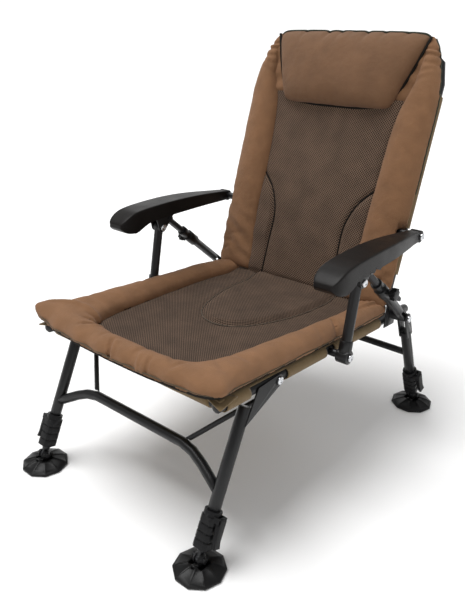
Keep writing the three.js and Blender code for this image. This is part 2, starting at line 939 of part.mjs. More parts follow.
// A ridged knob with a short rounded lever, on the clamp's stud.
function strutKnob() {
  const face = outerX + clampEarReach;
  const disc = pin(face, face + knobHeight, 0, 0, knobRadius, TUBE_SIDES);
  const ridges = Array.from({ length: knobRidges }, (_, i) => {
    const angle = (2 * Math.PI * i) / knobRidges;
    return pin(
      face + FIT,
      face + knobHeight - FIT,
      knobRadius * Math.cos(angle),
      knobRadius * Math.sin(angle),
      knobRidgeRadius,
      6,
    );
  });
  const paddle = join(
    block(
      face + knobHeight / 3,
      face + knobHeight - FIT * 2,
      -knobLeverLength,
      0,
      -knobLeverWidth / 2,
      knobLeverWidth / 2,
    ),
    pin(face + knobHeight / 3, face + knobHeight - FIT * 2, -knobLeverLength, 0, knobLeverWidth / 2),
  );
  const bore = pin(face - OVERRUN, face + knobHeight - OVERRUN + FIT, 0, 0, boreRadius(knobStudRadius));
  const knob = cut(join(disc, paddle, ...ridges), bore);
  return strutFrame.place(knob.translate(0, clampAt, 0));
}

addPair("strut_tube", strutTube(), "charcoal_steel");
addPair("strut_rod", strutRod(), "black_steel");
addPair("strut_knob", strutKnob(), "black_plastic");

// Front leg frame

// A leg tube bored for its stem, with the gusset plate that the rivet passes through.
function frontLeg() {
  const tube = frontLegFrame.place(bar(railX, 0, lockShoulder, frontLegLength, legRadius));
  const bore = frontLegFrame.place(
    bar(railX, 0, lockShoulder - OVERRUN, stemTop + OVERRUN, legBoreRadius),
  );
  const [footY, footZ] = frontLegFrame.point(gussetFootAlong, 0);
  const [pivotU, pivotW] = [legPivotY, legPivotZ];
  const foot = gussetFootTurnDeg * DEG;
  const shape = new THREE.Shape();
  const upperY = pivotU - gussetTopRise;
  const upperZ = pivotW + gussetRound - gussetPlate / 2;
  shape.moveTo(footY, footZ);
  shape.lineTo(pivotU + gussetRound * Math.sin(foot), pivotW - gussetRound * Math.cos(foot));
  shape.absarc(pivotU, pivotW, gussetRound, foot - Math.PI / 2, Math.PI / 2 - gussetTopTurnDeg * DEG, false);
  shape.lineTo(upperY, upperZ);
  shape.closePath();
  const plate = slab(shape, gussetInnerX, gussetOuterX);
  const rivetBore = pin(
    gussetInnerX - OVERRUN,
    gussetOuterX + OVERRUN,
    legPivotY,
    legPivotZ,
    boreRadius(boltRadius),
  );
  return cut(join(tube, plate), bore, rivetBore);
}

// Path of the arched crossbar in the plane of the legs.
function crossbarPath() {
  const high = crossbarHigh;
  const low = crossbarLow;
  const bendX = crossbarBendX;
  const shareOut = crossbarEase / (railX - bendX);
  const easeX = bendX + crossbarEase;
  const easeY = high - (high - low) * shareOut;
  const point = (x, y) => new THREE.Vector3(x, y, 0);
  const path = new THREE.CurvePath();
  path.add(new THREE.LineCurve3(point(-railX, low), point(-easeX, easeY)));
  path.add(
    new THREE.QuadraticBezierCurve3(
      point(-easeX, easeY),
      point(-bendX, high),
      point(-bendX + crossbarEase, high),
    ),
  );
  path.add(
    new THREE.LineCurve3(point(-bendX + crossbarEase, high), point(bendX - crossbarEase, high)),
  );
  path.add(
    new THREE.QuadraticBezierCurve3(
      point(bendX - crossbarEase, high),
      point(bendX, high),
      point(easeX, easeY),
    ),
  );
  path.add(new THREE.LineCurve3(point(easeX, easeY), point(railX, low)));
  return path;
}

const CROSSBAR_STEPS = 16;

function frontCrossbar() {
  const arch = sweep(crossbarPath(), crossbarRadius, CROSSBAR_STEPS);
  const cope = bar(railX, 0, lockHigh, frontLegLength, legRadius + FIT);
  return frontLegFrame.place(cut(arch, cope, mirrored(cope)));
}

// A thin brace from the crossbar's top to the gusset's inner face.
function frontBrace() {
  const [footY, footZ] = frontLegFrame.point(crossbarHigh, 0);
  const from = new THREE.Vector3(braceFootX, footY, footZ);
  const to = new THREE.Vector3(
    gussetInnerX + OVERRUN,
    legPivotY - braceHeadBack,
    legPivotZ - braceHeadDrop,
  );
  const rod = strut(from, to, braceRadius);
  const seat = frontLegFrame.place(
    pin(0, railX, crossbarHigh, 0, crossbarRadius + FIT, TUBE_SIDES),
  );
  const beyond = block(
    gussetInnerX - FIT,
    gussetOuterX * 2,
    to.y - gussetTopRise,
    to.y + gussetTopRise,
    to.z - gussetTopRise,
    to.z + gussetTopRise,
  );
  return cut(rod, seat, beyond);
}

addPair("front_leg", frontLeg(), "black_steel");
add("front_crossbar", frontCrossbar(), "black_steel");
addPair("front_brace", frontBrace(), "black_steel");

// Rear leg frame

// A leg tube bored for its stem, with two cheeks that straddle the strut's tongue.
function rearLeg() {
  const end = rearLegLength;
  const tubeTop = end - rearLegClevis;
  const tube = bar(outerX, 0, lockShoulder, tubeTop, legRadius);
  const inner = strutTongueWidth / 2 + FIT;
  const outer = inner + clevisCheek;
  const cheeks = [-1, 1].map((side) => {
    const shape = new THREE.Shape();
    shape.moveTo(tubeTop - clevisRadius, -clevisRadius);
    shape.lineTo(end, -clevisRadius);
    shape.absarc(end, 0, clevisRadius, -Math.PI / 2, Math.PI / 2, false);
    shape.lineTo(tubeTop - clevisRadius, clevisRadius);
    shape.closePath();
    const low = side < 0 ? outerX - outer : outerX + inner;
    return slab(shape, low, low + clevisCheek);
  });
  const bore = bar(outerX, 0, lockShoulder - OVERRUN, stemTop + OVERRUN, legBoreRadius);
  const boltBore = pin(outerX - outer - OVERRUN, outerX + outer + OVERRUN, end, 0, boreRadius(boltRadius));
  return rearLegFrame.place(cut(join(tube, ...cheeks), bore, boltBore));
}

function rearCrossbar() {
  const at = rearLegLength - rearCrossbarDrop;
  const tube = pin(-outerX, outerX, at, 0, rearCrossbarRadius, TUBE_SIDES);
  const reach = legRadius * 2;
  const cope = bar(outerX, 0, at - reach, at + reach, legRadius + FIT);
  return rearLegFrame.place(cut(tube, cope, mirrored(cope)));
}

addPair("rear_leg", rearLeg(), "charcoal_steel");
add("rear_crossbar", rearCrossbar(), "black_steel");

// Leg lock, lever, stem, knuckle and foot, the same at each corner

const leverPinX = lockCollarRadius + leverCamRadius + FIT;

// A rectangle with rounded corners in the (x, z) plane, extruded along y.
function roundedPost(halfX, halfZ, corner, from, to) {
  const shape = new THREE.Shape();
  shape.moveTo(-halfX + corner, -halfZ);
  shape.lineTo(halfX - corner, -halfZ);
  shape.quadraticCurveTo(halfX, -halfZ, halfX, -halfZ + corner);
  shape.lineTo(halfX, halfZ - corner);
  shape.quadraticCurveTo(halfX, halfZ, halfX - corner, halfZ);
  shape.lineTo(-halfX + corner, halfZ);
  shape.quadraticCurveTo(-halfX, halfZ, -halfX, halfZ - corner);
  shape.lineTo(-halfX, -halfZ + corner);
  shape.quadraticCurveTo(-halfX, -halfZ, -halfX + corner, -halfZ);
  const geometry = new THREE.ExtrudeGeometry(shape, {
    depth: to - from,
    bevelEnabled: false,
    curveSegments: 1,
  });
  return geometry.rotateX(Math.PI / 2).translate(0, to, 0);
}

// The moulded housing round the leg's lower end.
function legLock(x) {
  const collarLow = lockHigh - lockCollarLength;
  const body = roundedPost(lockHalfX, lockHalfZ, lockCorner, lockLow, collarLow + FIT);
  const collar = bar(0, 0, collarLow, lockHigh, lockCollarRadius);
  const pitch = (collarLow - lockLow) / (lockRibs + 1);
  const grooves = Array.from({ length: lockRibs }, (_, i) => {
    const at = lockLow + pitch * (i + 1);
    const outer = roundedPost(
      lockHalfX + OVERRUN,
      lockHalfZ + OVERRUN,
      lockCorner,
      at - lockRibHeight / 2,
      at + lockRibHeight / 2,
    );
    const kept = roundedPost(
      lockHalfX - lockRibDepth,
      lockHalfZ - lockRibDepth,
      lockCorner,
      at - lockRibHeight,
      at + lockRibHeight,
    );
    return cut(outer, kept);
  });
  const earFrom = leverPinAt - lockEarReach / 2;
  const earTo = leverPinAt + lockEarReach / 2;
  const earReachX = leverPinX + leverPinRadius;
  const ears = [-1, 1].map((side) => {
    const inner = side * (leverWidth / 2 + FIT);
    const outer = inner + side * lockEarWidth;
    return block(
      lockHalfX / 2,
      earReachX,
      earFrom,
      earTo,
      Math.min(inner, outer),
      Math.max(inner, outer),
    );
  });
  const pinHalf = leverWidth / 2 + FIT + lockEarWidth;
  const hinge = new THREE.CylinderGeometry(leverPinRadius, leverPinRadius, pinHalf * 2, PIN_SIDES);
  hinge.rotateX(Math.PI / 2).translate(leverPinX, leverPinAt, 0);
  const tubeBore = bar(0, 0, lockShoulder - FIT, lockHigh + OVERRUN, legRadius + FIT);
  const stemBore = bar(0, 0, lockLow - OVERRUN, lockShoulder, legBoreRadius);
  const slope = block(
    -lockHalfX * 2,
    lockHalfX * 2,
    lockLow - lockHalfZ,
    lockLow,
    -lockHalfZ * 2,
    lockHalfZ * 2,
  );
  slope.rotateX(lockSlopeDeg * DEG);
  const hollowed = cut(join(cut(body, ...grooves), collar, ...ears), tubeBore, stemBore, slope);
  return join(hollowed, hinge).translate(x, 0, 0);
}

// A cam lever that lies down the housing's outer side.
function lockLever(x) {
  const pinX = leverPinX;
  const half = leverWidth / 2;
  const shape = new THREE.Shape();
  shape.moveTo(0, leverCamRadius);
  shape.absarc(0, 0, leverCamRadius, Math.PI / 2, Math.PI * 1.5, true);
  shape.lineTo(-leverLength + leverThickness, leverCamRadius - leverThickness - FIT);
  shape.lineTo(-leverLength, leverCamRadius - leverThickness + leverTipRise / 2);
  shape.lineTo(-leverLength, leverCamRadius + leverTipRise / 2);
  shape.lineTo(-leverLength + leverThickness * 2, leverCamRadius);
  shape.closePath();
  const geometry = new THREE.ExtrudeGeometry(shape, {
    depth: leverWidth,
    bevelEnabled: false,
    curveSegments: CURVE_STEPS,
  });
  const turn = new THREE.Matrix4().makeBasis(
    new THREE.Vector3(0, 1, 0),
    new THREE.Vector3(1, 0, 0),
    new THREE.Vector3(0, 0, -1),
  );
  geometry.applyMatrix4(turn).translate(pinX, leverPinAt, half);
  const bore = new THREE.CylinderGeometry(
    boreRadius(leverPinRadius),
    boreRadius(leverPinRadius),
    leverWidth + OVERRUN * 2,
    PIN_SIDES,
  );
  bore.rotateX(Math.PI / 2).translate(pinX, leverPinAt, 0);
  return cut(geometry, bore).translate(x, 0, 0);
}

// The sliding stem with a bored tongue at its foot.
function legStem(x) {
  const neck = knuckleBallRadius + OVERRUN;
  const shaft = bar(0, 0, neck, stemTop, stemRadius);
  const half = tongueThickness / 2;
  const tongue = join(
    pin(-half, half, 0, 0, tongueRadius, TUBE_SIDES),
    block(-half, half, 0, neck + OVERRUN, -tongueRadius + OVERRUN, tongueRadius - OVERRUN),
  );
  const bore = pin(-half - OVERRUN, half + OVERRUN, 0, 0, boreRadius(knucklePinRadius));
  return cut(join(shaft, tongue), bore).translate(x, 0, 0);
}

// The slotted ball with its cross pin, over the pin that the foot rolls on.
function knuckle(x, y) {
  const ball = new THREE.SphereGeometry(knuckleBallRadius, PIN_SIDES, PIN_SIDES / 2);
  const drop = rollAxisHeight - ballHeight;
  const slotHalf = tongueThickness / 2 + FIT;
  const slot = block(
    -slotHalf,
    slotHalf,
    -knuckleBallRadius * 2,
    knuckleBallRadius * 2,
    -tongueRadius - FIT,
    knuckleBallRadius * 2,
  );
  const rollPin = new THREE.CylinderGeometry(rollPinRadius, rollPinRadius, rollPinReach * 2, PIN_SIDES);
  rollPin.translate(0, 0, drop);
  const neck = block(
    -rollPinRadius,
    rollPinRadius,
    -knuckleBallRadius + OVERRUN,
    knuckleBallRadius - OVERRUN,
    drop,
    -tongueRadius - FIT,
  );
  const cross = pin(-knuckleNubReach, knuckleNubReach, 0, 0, knucklePinRadius);
  const nubs = [-1, 1].map((side) => {
    const near = side * (knuckleBallRadius - OVERRUN);
    const far = side * knuckleNubReach;
    return pin(Math.min(near, far), Math.max(near, far), 0, 0, knuckleNubRadius);
  });
  const body = cut(join(ball, ...nubs), slot);
  const whole = join(body, cross, rollPin, neck);
  return whole.translate(x, y, ballHeight);
}

// A faceted domed foot with radial ribs, ears for the roll pin and an open pocket.
function mudFoot(x, y) {
  const profile = [
    [0, 0],
    [footRadius - footTreadDepth, 0],
    [footRadius, footTreadDepth],
    [footRadius, footRim],
    [footRadius * footKneeShare, footRim + (footDome - footRim) * footKneeRiseShare],
    [footCrownRadius, footDome],
    [0, footDome],
  ];
  const dome = turned(profile, 0, 0, footFacets).rotateX(Math.PI / 2);
  dome.rotateZ(Math.PI / footFacets);
  const ribs = Array.from({ length: footFacets }, (_, i) => {
    const rib = new THREE.Shape();
    rib.moveTo(footCrownRadius / 2, footRim);
    rib.lineTo(footRadius * ribEndShare, footRim);
    rib.lineTo(footRadius * ribEndShare, footRim + footRibRise);
    rib.lineTo(footRadius * ribKneeShare, (footRim + footDome) / 2 + footRibRise / 2);
    rib.lineTo(footCrownRadius, footDome + footRibRise / 2);
    rib.lineTo(footCrownRadius / 2, footDome + footRibRise / 2);
    rib.closePath();
    const fin = slab(rib, -footRibWidth / 2, footRibWidth / 2);
    return fin.rotateZ((2 * Math.PI * (i + 0.5)) / footFacets);
  });
  const earFace = rollPinReach - footEarThickness;
  const ears = [-1, 1].map((side) => {
    const near = side * earFace;
    const far = side * rollPinReach;
    const from = Math.min(near, far);
    const to = Math.max(near, far);
    const round = new THREE.CylinderGeometry(footEarRadius, footEarRadius, footEarThickness, PIN_SIDES);
    round.translate(0, (near + far) / 2, rollAxisHeight);
    return join(round, block(-footEarRadius, footEarRadius, from, to, footFloor, rollAxisHeight));
  });
  const pocket = block(
    -footPocketX,
    footPocketX,
    -earFace + FIT,
    earFace - FIT,
    footFloor,
    footDome * 3,
  );
  const bore = new THREE.CylinderGeometry(
    boreRadius(rollPinRadius),
    boreRadius(rollPinRadius),
    (rollPinReach + OVERRUN) * 2,
    PIN_SIDES,
  );
  bore.translate(0, 0, rollAxisHeight);
  const foot = cut(join(dome, ...ribs, ...ears), pocket, bore);
  return foot.translate(x, y, 0);
}

for (const [word, frame, x, footY] of [
  ["front", frontLegFrame, railX, 0],
  ["rear", rearLegFrame, outerX, rearFootY],
]) {
  addPair("leg_lock_" + word, frame.place(legLock(x)), "black_plastic");
  addPair("lock_lever_" + word, frame.place(lockLever(x)), "black_plastic");
  addPair("leg_stem_" + word, frame.place(legStem(x)), "black_steel");
  addPair("knuckle_" + word, knuckle(x, footY), "black_plastic");
  addPair("mud_foot_" + word, mudFoot(x, footY), "black_plastic");
}

// Soft parts

const smooth = (t) => {
  const c = Math.min(Math.max(t, 0), 1);
  return c * c * (3 - 2 * c);
};
const bulge = (t) => Math.sqrt(Math.max(0, 1 - (1 - Math.min(Math.max(t, 0), 1)) ** 2));
const mix = (a, b, t) => a + (b - a) * t;

// A closed pad between a base and a top surface over a grid of rows and columns.
function pad({ rows, columns, halfWidth, from, to, top, base }) {
  const positions = [];
  const spread = (i, count) => 0.5 - 0.5 * Math.cos((Math.PI * i) / count);
  const grid = (surface) => {
    for (let j = 0; j <= rows; j += 1) {
      for (let i = 0; i <= columns; i += 1) {
        const u = 2 * mix(i / columns, spread(i, columns), padSpreadShare) - 1;
        const v = mix(j / rows, spread(j, rows), padSpreadShare);
        const x = u * halfWidth(v);
        const y = mix(from(u), to(u), v);
        positions.push(x, y, surface(x, y, u, v));
      }
    }
  };
  grid(top);
  grid(base);
  const index = [];
  const layer = (rows + 1) * (columns + 1);
  const at = (j, i) => j * (columns + 1) + i;
  for (let j = 0; j < rows; j += 1) {
    for (let i = 0; i < columns; i += 1) {
      const [a, b, c, d] = [at(j, i), at(j, i + 1), at(j + 1, i + 1), at(j + 1, i)];
      index.push(a, b, c, a, c, d);
      index.push(layer + a, layer + c, layer + b, layer + a, layer + d, layer + c);
    }
  }
  const rim = [];
  for (let i = 0; i < columns; i += 1) rim.push(at(0, i));
  for (let j = 0; j < rows; j += 1) rim.push(at(j, columns));
  for (let i = columns; i > 0; i -= 1) rim.push(at(rows, i));
  for (let j = rows; j > 0; j -= 1) rim.push(at(j, 0));
  rim.forEach((a, k) => {
    const b = rim[(k + 1) % rim.length];
    index.push(a, layer + a, layer + b, a, layer + b, b);
  });
  const geometry = new THREE.BufferGeometry();
  geometry.setAttribute("position", new THREE.Float32BufferAttribute(positions, 3));
  geometry.setIndex(index);
  return geometry;
}

// Height of the sling's upper face, which sags between the rails.
const slingTop = (x, y) => {
  const across = Math.max(0, 1 - (x / (railX - railRadius)) ** 2);
  const start = frontBarRadius + FIT + sleeveWall;
  const along = Math.sin(Math.PI * Math.min(Math.max((y - start) / (slingRear - start), 0), 1));
  return railRadius + FIT + sleeveWall - slingSag * across * along;
};

// The seat's sling: a sagging sheet hemmed round the rails and both cross bars.
function seatSling() {
  const hemFront = frontBarRadius + FIT + sleeveWall;
  const sheet = pad({
    rows: 8,
    columns: 10,
    halfWidth: () => railX,
    from: () => -hemFront / 2,
    to: () => slingRear,
    top: (x, y) => slingTop(x, y) - FIT,
    base: (x, y) => slingTop(x, y) - clothThickness,
  });
  const outer = railRadius + FIT + sleeveWall;
  const frontHem = pin(-railX + outer + OVERRUN, railX - outer - OVERRUN, 0, 0, hemFront, TUBE_SIDES);
  const rearHem = pin(
    -railX + outer + OVERRUN,
    railX - outer - OVERRUN,
    rearBarAt,
    0,
    rearBarRadius + FIT + sleeveWall,
    TUBE_SIDES,
  );
  const sleeve = bar(railX, 0, railRadius + FIT, slingRear, outer);
  const bored = bar(railX, 0, -seatOverhang, railLength, railRadius + FIT);
  const barBores = [
    pin(-railX, railX, 0, 0, frontBarRadius + FIT, TUBE_SIDES),
    pin(-railX, railX, rearBarAt, 0, rearBarRadius + FIT, TUBE_SIDES),
  ];
  const inside = railX - railRadius / 2;
  const legWindow = block(inside, railX * 2, windowFront, windowRear, -outer * 2, outer * 2);
  const postOpening = block(
    inside,
    railX * 2,
    postPivotAt - postWindow,
    postPivotAt + postWindow,
    -outer * 2,
    outer * 2,
  );
  const body = join(sheet, frontHem, rearHem, sleeve, mirrored(sleeve));
  const openings = [legWindow, postOpening, bored].flatMap((tool) => [tool, mirrored(tool)]);
  return railFrame.place(cut(body, ...openings, ...barBores));
}

add("seat_sling", seatSling(), "olive_cloth");

const seatEnd = backPivotAt - cheekRound - FIT;

// Half-width of the seat's mesh panel at a place along the rail.
const seatMeshHalf = (y) => mix(seatMeshFrontHalf, seatMeshRearHalf, smooth((y - seatMeshFront) / seatEnd));

// The seat cushion's upper face: dished mesh panel, raised lobe, brown bolsters on three sides.
function seatTop(x, y, u, v) {
  const wide = Math.abs(x);
  const meshHalf = seatMeshHalf(y);
  const sideRun = seatHalfWidth - meshHalf;
  const side = Math.sin(Math.PI * Math.min(Math.max((wide - meshHalf) / sideRun, 0), 1) ** sideLeanShare);
  const frontRun = seatMeshFront + seatOverhang;
  const front = Math.sin(Math.PI * Math.min(Math.max((seatMeshFront - y) / frontRun, 0), 1));
  const swell = Math.max(side, front) ** swellShare;
  const dish = slingSag * Math.max(0, 1 - (x / meshHalf) ** 2) * Math.max(0, Math.sin(Math.PI * v));
  const lobeHalf = seatLobeHalf * bulge((y - seatLobeTip) / (seatEnd - seatLobeTip) / lobeRoundShare);
  const lobe = y > seatLobeTip ? smooth((lobeHalf - wide) / seatSeamWidth / 2) : 0;
  const panel = mix(seatPanelFront, seatPanelRear, v) - dish * dishShare + lobe * seatLobeRise;
  const crest = mix(seatFrontCrest, seatCrest, v);
  const seam = Math.exp(-(((wide - meshHalf) / seatSeamWidth) ** 2)) * seatSeamDepth / 2;
  const rear = seatRearDrop * smooth((y - seatEnd + seatRearRun) / seatRearRun) ** 2;
  const outside = bulge((1 - Math.abs(u)) * (seatHalfWidth / seatEdgeRun));
  const ends = bulge((y + seatOverhang) / seatEdgeRun);
  const full = mix(panel, crest, swell) - seam;
  const low = slingTop(x, y) + SKIN_LIFT + seatEdge;
  return Math.max(mix(low, full, Math.min(outside, ends)) - rear * swell, low);
}

function seatCushion() {
  const halfWidth = (v) => {
    const y = mix(-seatOverhang, seatEnd, v);
    return seatHalfWidth - seatCornerCut * (1 - bulge((y + seatOverhang) / seatCornerRun));
  };
  return railFrame.place(
    pad({
      rows: 17,
      columns: 20,
      halfWidth,
      from: (u) => -seatOverhang + (seatOverhang / 2) * smooth(Math.abs(u)) ** 2,
      to: () => seatEnd,
      top: seatTop,
      base: (x, y) => slingTop(x, y) + SKIN_LIFT,
    }),
  );
}

add("seat_cushion", seatCushion(), "peach_skin");

const coverFace = backTubeRadius + FIT + sleeveWall;

// The back's cloth cover: a panel over the frame with sleeves round both tubes and the top bar.
function backCover() {
  const panelHalf = (v) => {
    const t = mix(coverStart, backFrameHeight + backTubeRadius, v);
    const shoulder = smooth((t - backShoulderAt) / (backTop - backShoulderAt));
    return mix(railX + backTubeRadius / 2, backTopHalf - backTubeRadius, shoulder);
  };
  const panel = pad({
    rows: 6,
    columns: 4,
    halfWidth: panelHalf,
    from: () => coverStart,
    to: () => backFrameHeight + backTubeRadius,
    top: () => coverFace,
    base: () => coverFace - clothThickness,
  });
  const sleeve = bar(railX, 0, coverStart, coverEnd, coverFace);
  const topSleeve = pin(-backBarHalf, backBarHalf, backFrameHeight, 0, coverFace, TUBE_SIDES);
  const boreLeft = sweep(backTubePath(backTubeTail), backTubeRadius + FIT, BACK_TUBE_STEPS);
  const boreTop = pin(-railX, railX, backFrameHeight, 0, backTubeRadius + FIT, TUBE_SIDES);
  const stubWindow = block(
    railX,
    railX * 2,
    armRearAlong - stubRadius - cheekPlate,
    armRearAlong + stubRadius + cheekPlate,
    -coverFace * 2,
    coverFace * 3,
  );
  const body = join(panel, sleeve, mirrored(sleeve), topSleeve);
  const cornerCut = [stubWindow, mirrored(stubWindow)];
  const shortTop = common(
    boreTop,
    block(-backBarHalf - FIT, backBarHalf + FIT, 0, backTop, -coverFace * 2, coverFace * 2),
  );
  return backFrame.place(cut(body, boreLeft, mirrored(boreLeft), shortTop, ...cornerCut));
}

add("back_cover", backCover(), "olive_cloth");

const backBase = coverFace + SKIN_LIFT;

// Half-width of the back cushion, drawn in at the shoulders.
const backHalf = (y) => {
  const shoulder = smooth((y - backShoulderAt) / (backTop - backShoulderAt));
  return mix(backHalfWidth, backTopHalf, shoulder);
};

// The back cushion's front face, with a lift that the pillow's seat uses.
function backFront(x, y, u, lift) {
  const wide = Math.abs(x);
  const side = Math.sin(Math.PI * Math.min(Math.max((wide - backMeshHalf) / (backHalf(y) - backMeshHalf), 0), 1));
  const wingShare = smooth((y - wingFootAt) / (wingTopAt - wingFootAt));
  const wingHalf = mix(wingFootHalf, wingTopHalf, wingShare);
  const seam = y < wingTopAt ? Math.exp(-(((wide - wingHalf) / seatSeamWidth) ** 2)) : 0;
  const full = mix(backPanelFront, backBolsterFront, Math.max(side, 0) ** swellShare) - seam * seatSeamDepth * dishShare;
  const outside = bulge((1 - Math.abs(u)) * (backHalfWidth / backEdgeRun));
  const toe = smooth((y - backStart) / backToeRun + backToeShare);
  const head = bulge((backTop - y) / backEdgeRun);
  const edge = backBase + backEdge;
  return mix(edge, full, Math.min(outside, toe, head)) + lift;
}

function backPad(lift) {
  const plump = pad({
      rows: 17,
      columns: 20,
      halfWidth: (v) => backHalf(mix(backStart, backTop, v)) + lift,
      from: (u) => backStart - backTongue * (1 - smooth((Math.abs(u) - heelStartShare) / heelRunShare)),
      to: () => backTop + lift,
      top: (x, y, u) => backFront(x, y, u, lift),
    base: () => backBase - lift,
  });
  const notch = block(
    railX,
    backHalfWidth * 2,
    armRearAlong - stubRadius - SKIN_LIFT,
    armRearAlong + stubRadius + SKIN_LIFT,
    0,
    armRearOut + stubRadius + SKIN_LIFT,
  );
  return backFrame.place(cut(plump, notch, mirrored(notch)));
}

add("back_cushion", backPad(0), "spacer_mesh");

// The head pillow, strongly crowned, wider at the top, seated on the back cushion.
function headPillow() {
  const plump = pad({
    rows: 10,
    columns: 16,
    halfWidth: (v) => {
      const corner = pillowCorner * (1 - bulge((v * (pillowEnd - pillowStart)) / pillowCorner));
      return mix(pillowFootHalf, pillowTopHalf, v) - corner;
    },
    from: () => pillowStart,
    to: () => pillowEnd,
    top: (x, y, u, v) => {
      const across = bulge((1 - Math.abs(u)) * pillowSideRate);
      const along = Math.min(bulge(v * pillowFootRate), bulge((1 - v) * pillowHeadRate));
      const pinch = pillowPinchShares.reduce(
        (sum, share) => sum + Math.exp(-(((u - share) * pillowPinchRate) ** 2)),
        0,
      );
      const crown = mix(backBolsterFront + pillowEdge, pillowCrown, across * along);
      return crown - pinch * pillowPinch * smooth((v - pillowGatherShare) / (1 - pillowGatherShare));
    },
    base: () => backBase + backEdge,
  });
  return cut(backFrame.place(plump), backPad(SKIN_LIFT));
}

add("head_pillow", headPillow(), "peach_skin");

// The box's centre in plan and the feet's soles are the origin.
const box = new THREE.Box3().setFromObject(root);
root.position.set(-(box.min.x + box.max.x) / 2, -(box.min.y + box.max.y) / 2, -box.min.z);

export default root;
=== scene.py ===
"""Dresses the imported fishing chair: cushions, cloth, finishes, studio light and the camera."""

from __future__ import annotations

import json
import logging
import math
from contextlib import contextmanager
from dataclasses import dataclass
from enum import Enum
from typing import Callable, Iterator, Sequence

import bmesh
import bpy
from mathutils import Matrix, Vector, noise
from mathutils.bvhtree import BVHTree

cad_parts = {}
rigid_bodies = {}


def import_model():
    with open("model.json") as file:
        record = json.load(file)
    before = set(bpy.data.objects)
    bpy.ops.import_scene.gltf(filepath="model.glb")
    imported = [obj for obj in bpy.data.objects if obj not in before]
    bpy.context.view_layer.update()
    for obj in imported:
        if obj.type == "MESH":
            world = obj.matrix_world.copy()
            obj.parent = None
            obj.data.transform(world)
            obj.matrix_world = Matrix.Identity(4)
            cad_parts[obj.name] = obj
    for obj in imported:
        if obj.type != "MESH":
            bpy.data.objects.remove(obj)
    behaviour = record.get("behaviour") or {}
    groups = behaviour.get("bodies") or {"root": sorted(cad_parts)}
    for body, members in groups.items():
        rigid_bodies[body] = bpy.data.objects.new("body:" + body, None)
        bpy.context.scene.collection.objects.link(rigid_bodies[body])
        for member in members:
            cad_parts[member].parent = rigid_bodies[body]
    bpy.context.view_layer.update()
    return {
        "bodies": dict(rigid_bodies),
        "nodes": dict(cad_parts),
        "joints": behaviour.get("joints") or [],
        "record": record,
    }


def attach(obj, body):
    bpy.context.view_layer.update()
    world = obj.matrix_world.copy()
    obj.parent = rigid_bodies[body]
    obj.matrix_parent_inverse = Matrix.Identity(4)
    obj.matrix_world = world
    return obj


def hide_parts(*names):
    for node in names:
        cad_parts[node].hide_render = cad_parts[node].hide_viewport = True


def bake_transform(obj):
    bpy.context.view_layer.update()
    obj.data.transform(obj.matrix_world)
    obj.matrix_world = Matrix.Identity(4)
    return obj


Thing = bpy.types.Object
Tree = bpy.types.NodeTree
Socket = bpy.types.NodeSocket

LOG = logging.getLogger("fishing_chair")
MM = 0.001


class Side(Enum):
    """A side of the chair, as the sign of its x."""

    LEFT = 1
    RIGHT = -1

    @property
    def word(self) -> str:
        """The side's name in node names."""
        return self.name.lower()


class Hold(Enum):
    """How a sheet of cloth is held."""

    STRETCHED = "stretched"


def mix(a: float, b: float, t: float) -> float:
    """Returns the value between a and b at t."""
    return a + (b - a) * t


def smooth(t: float) -> float:
    """Returns t eased at both ends and held within 0 and 1."""
    c = min(max(t, 0.0), 1.0)
    return c * c * (3 - 2 * c)


def bulge(t: float) -> float:
    """Returns a quarter circle's height at t from its edge."""
    c = min(max(t, 0.0), 1.0)
    return math.sqrt(max(0.0, 1 - (1 - c) ** 2))


@dataclass(frozen=True)
class SideFrame:
    """A local frame in the chair's side plane: x across, y along a piece, z out of its face.

    Args:
        y: The origin's y in the row frame, in metres.
        z: The origin's z in the row frame, in metres.
        angle: How far the local y leans up from the row's y, in radians.
    """

    y: float
    z: float
    angle: float

    def point(self, x: float, along: float, out: float) -> Vector:
        """Returns the row-frame place of a local point.

        Args:
            x: Across the chair, in metres.
            along: Along the piece, in metres.
            out: Out of its face, in metres.
        """
        c, s = math.cos(self.angle), math.sin(self.angle)
        return Vector((x, self.y + along * c - out * s, self.z + along * s + out * c))

    def local(self, place: Vector) -> tuple[float, float, float]:
        """Returns a row-frame place in this frame: across, along, out."""
        offset = place - self.point(0, 0, 0)
        return place.x, offset.dot(self.along), offset.dot(self.out)

    @property
    def along(self) -> Vector:
        """The direction along the piece."""
        return Vector((0, math.cos(self.angle), math.sin(self.angle)))

    @property
    def out(self) -> Vector:
        """The direction out of the piece's face."""
        return Vector((0, -math.sin(self.angle), math.cos(self.angle)))


@dataclass(frozen=True)
class Crease:
    """A fold pressed into padded cloth, in millimetres on the piece's own face.

    Args:
        start: Where it starts, across and along.
        end: Where it ends.
        width: Its half-width.
        depth: How deep it is; below 0 for a ridge.
    """

    start: tuple[float, float]
    end: tuple[float, float]
    width: float
    depth: float

    def at(self, x: float, y: float) -> float:
        """Returns how deep the fold is at a place.

        Args:
            x: Across the piece, in metres.
            y: Along the piece, in metres.
        """
        px, py = x / MM - self.start[0], y / MM - self.start[1]
        dx, dy = self.end[0] - self.start[0], self.end[1] - self.start[1]
        length = math.hypot(dx, dy)
        t = (px * dx + py * dy) / length ** 2
        if not -0.2 < t < 1.2:
            return 0.0
        off = abs(px * dy - py * dx) / length
        if off > 3 * self.width:
            return 0.0
        fade = smooth((t + 0.2) / 0.4) * smooth((1.2 - t) / 0.5)
        return self.depth * MM * fade * math.exp(-((off / self.width) ** 2))


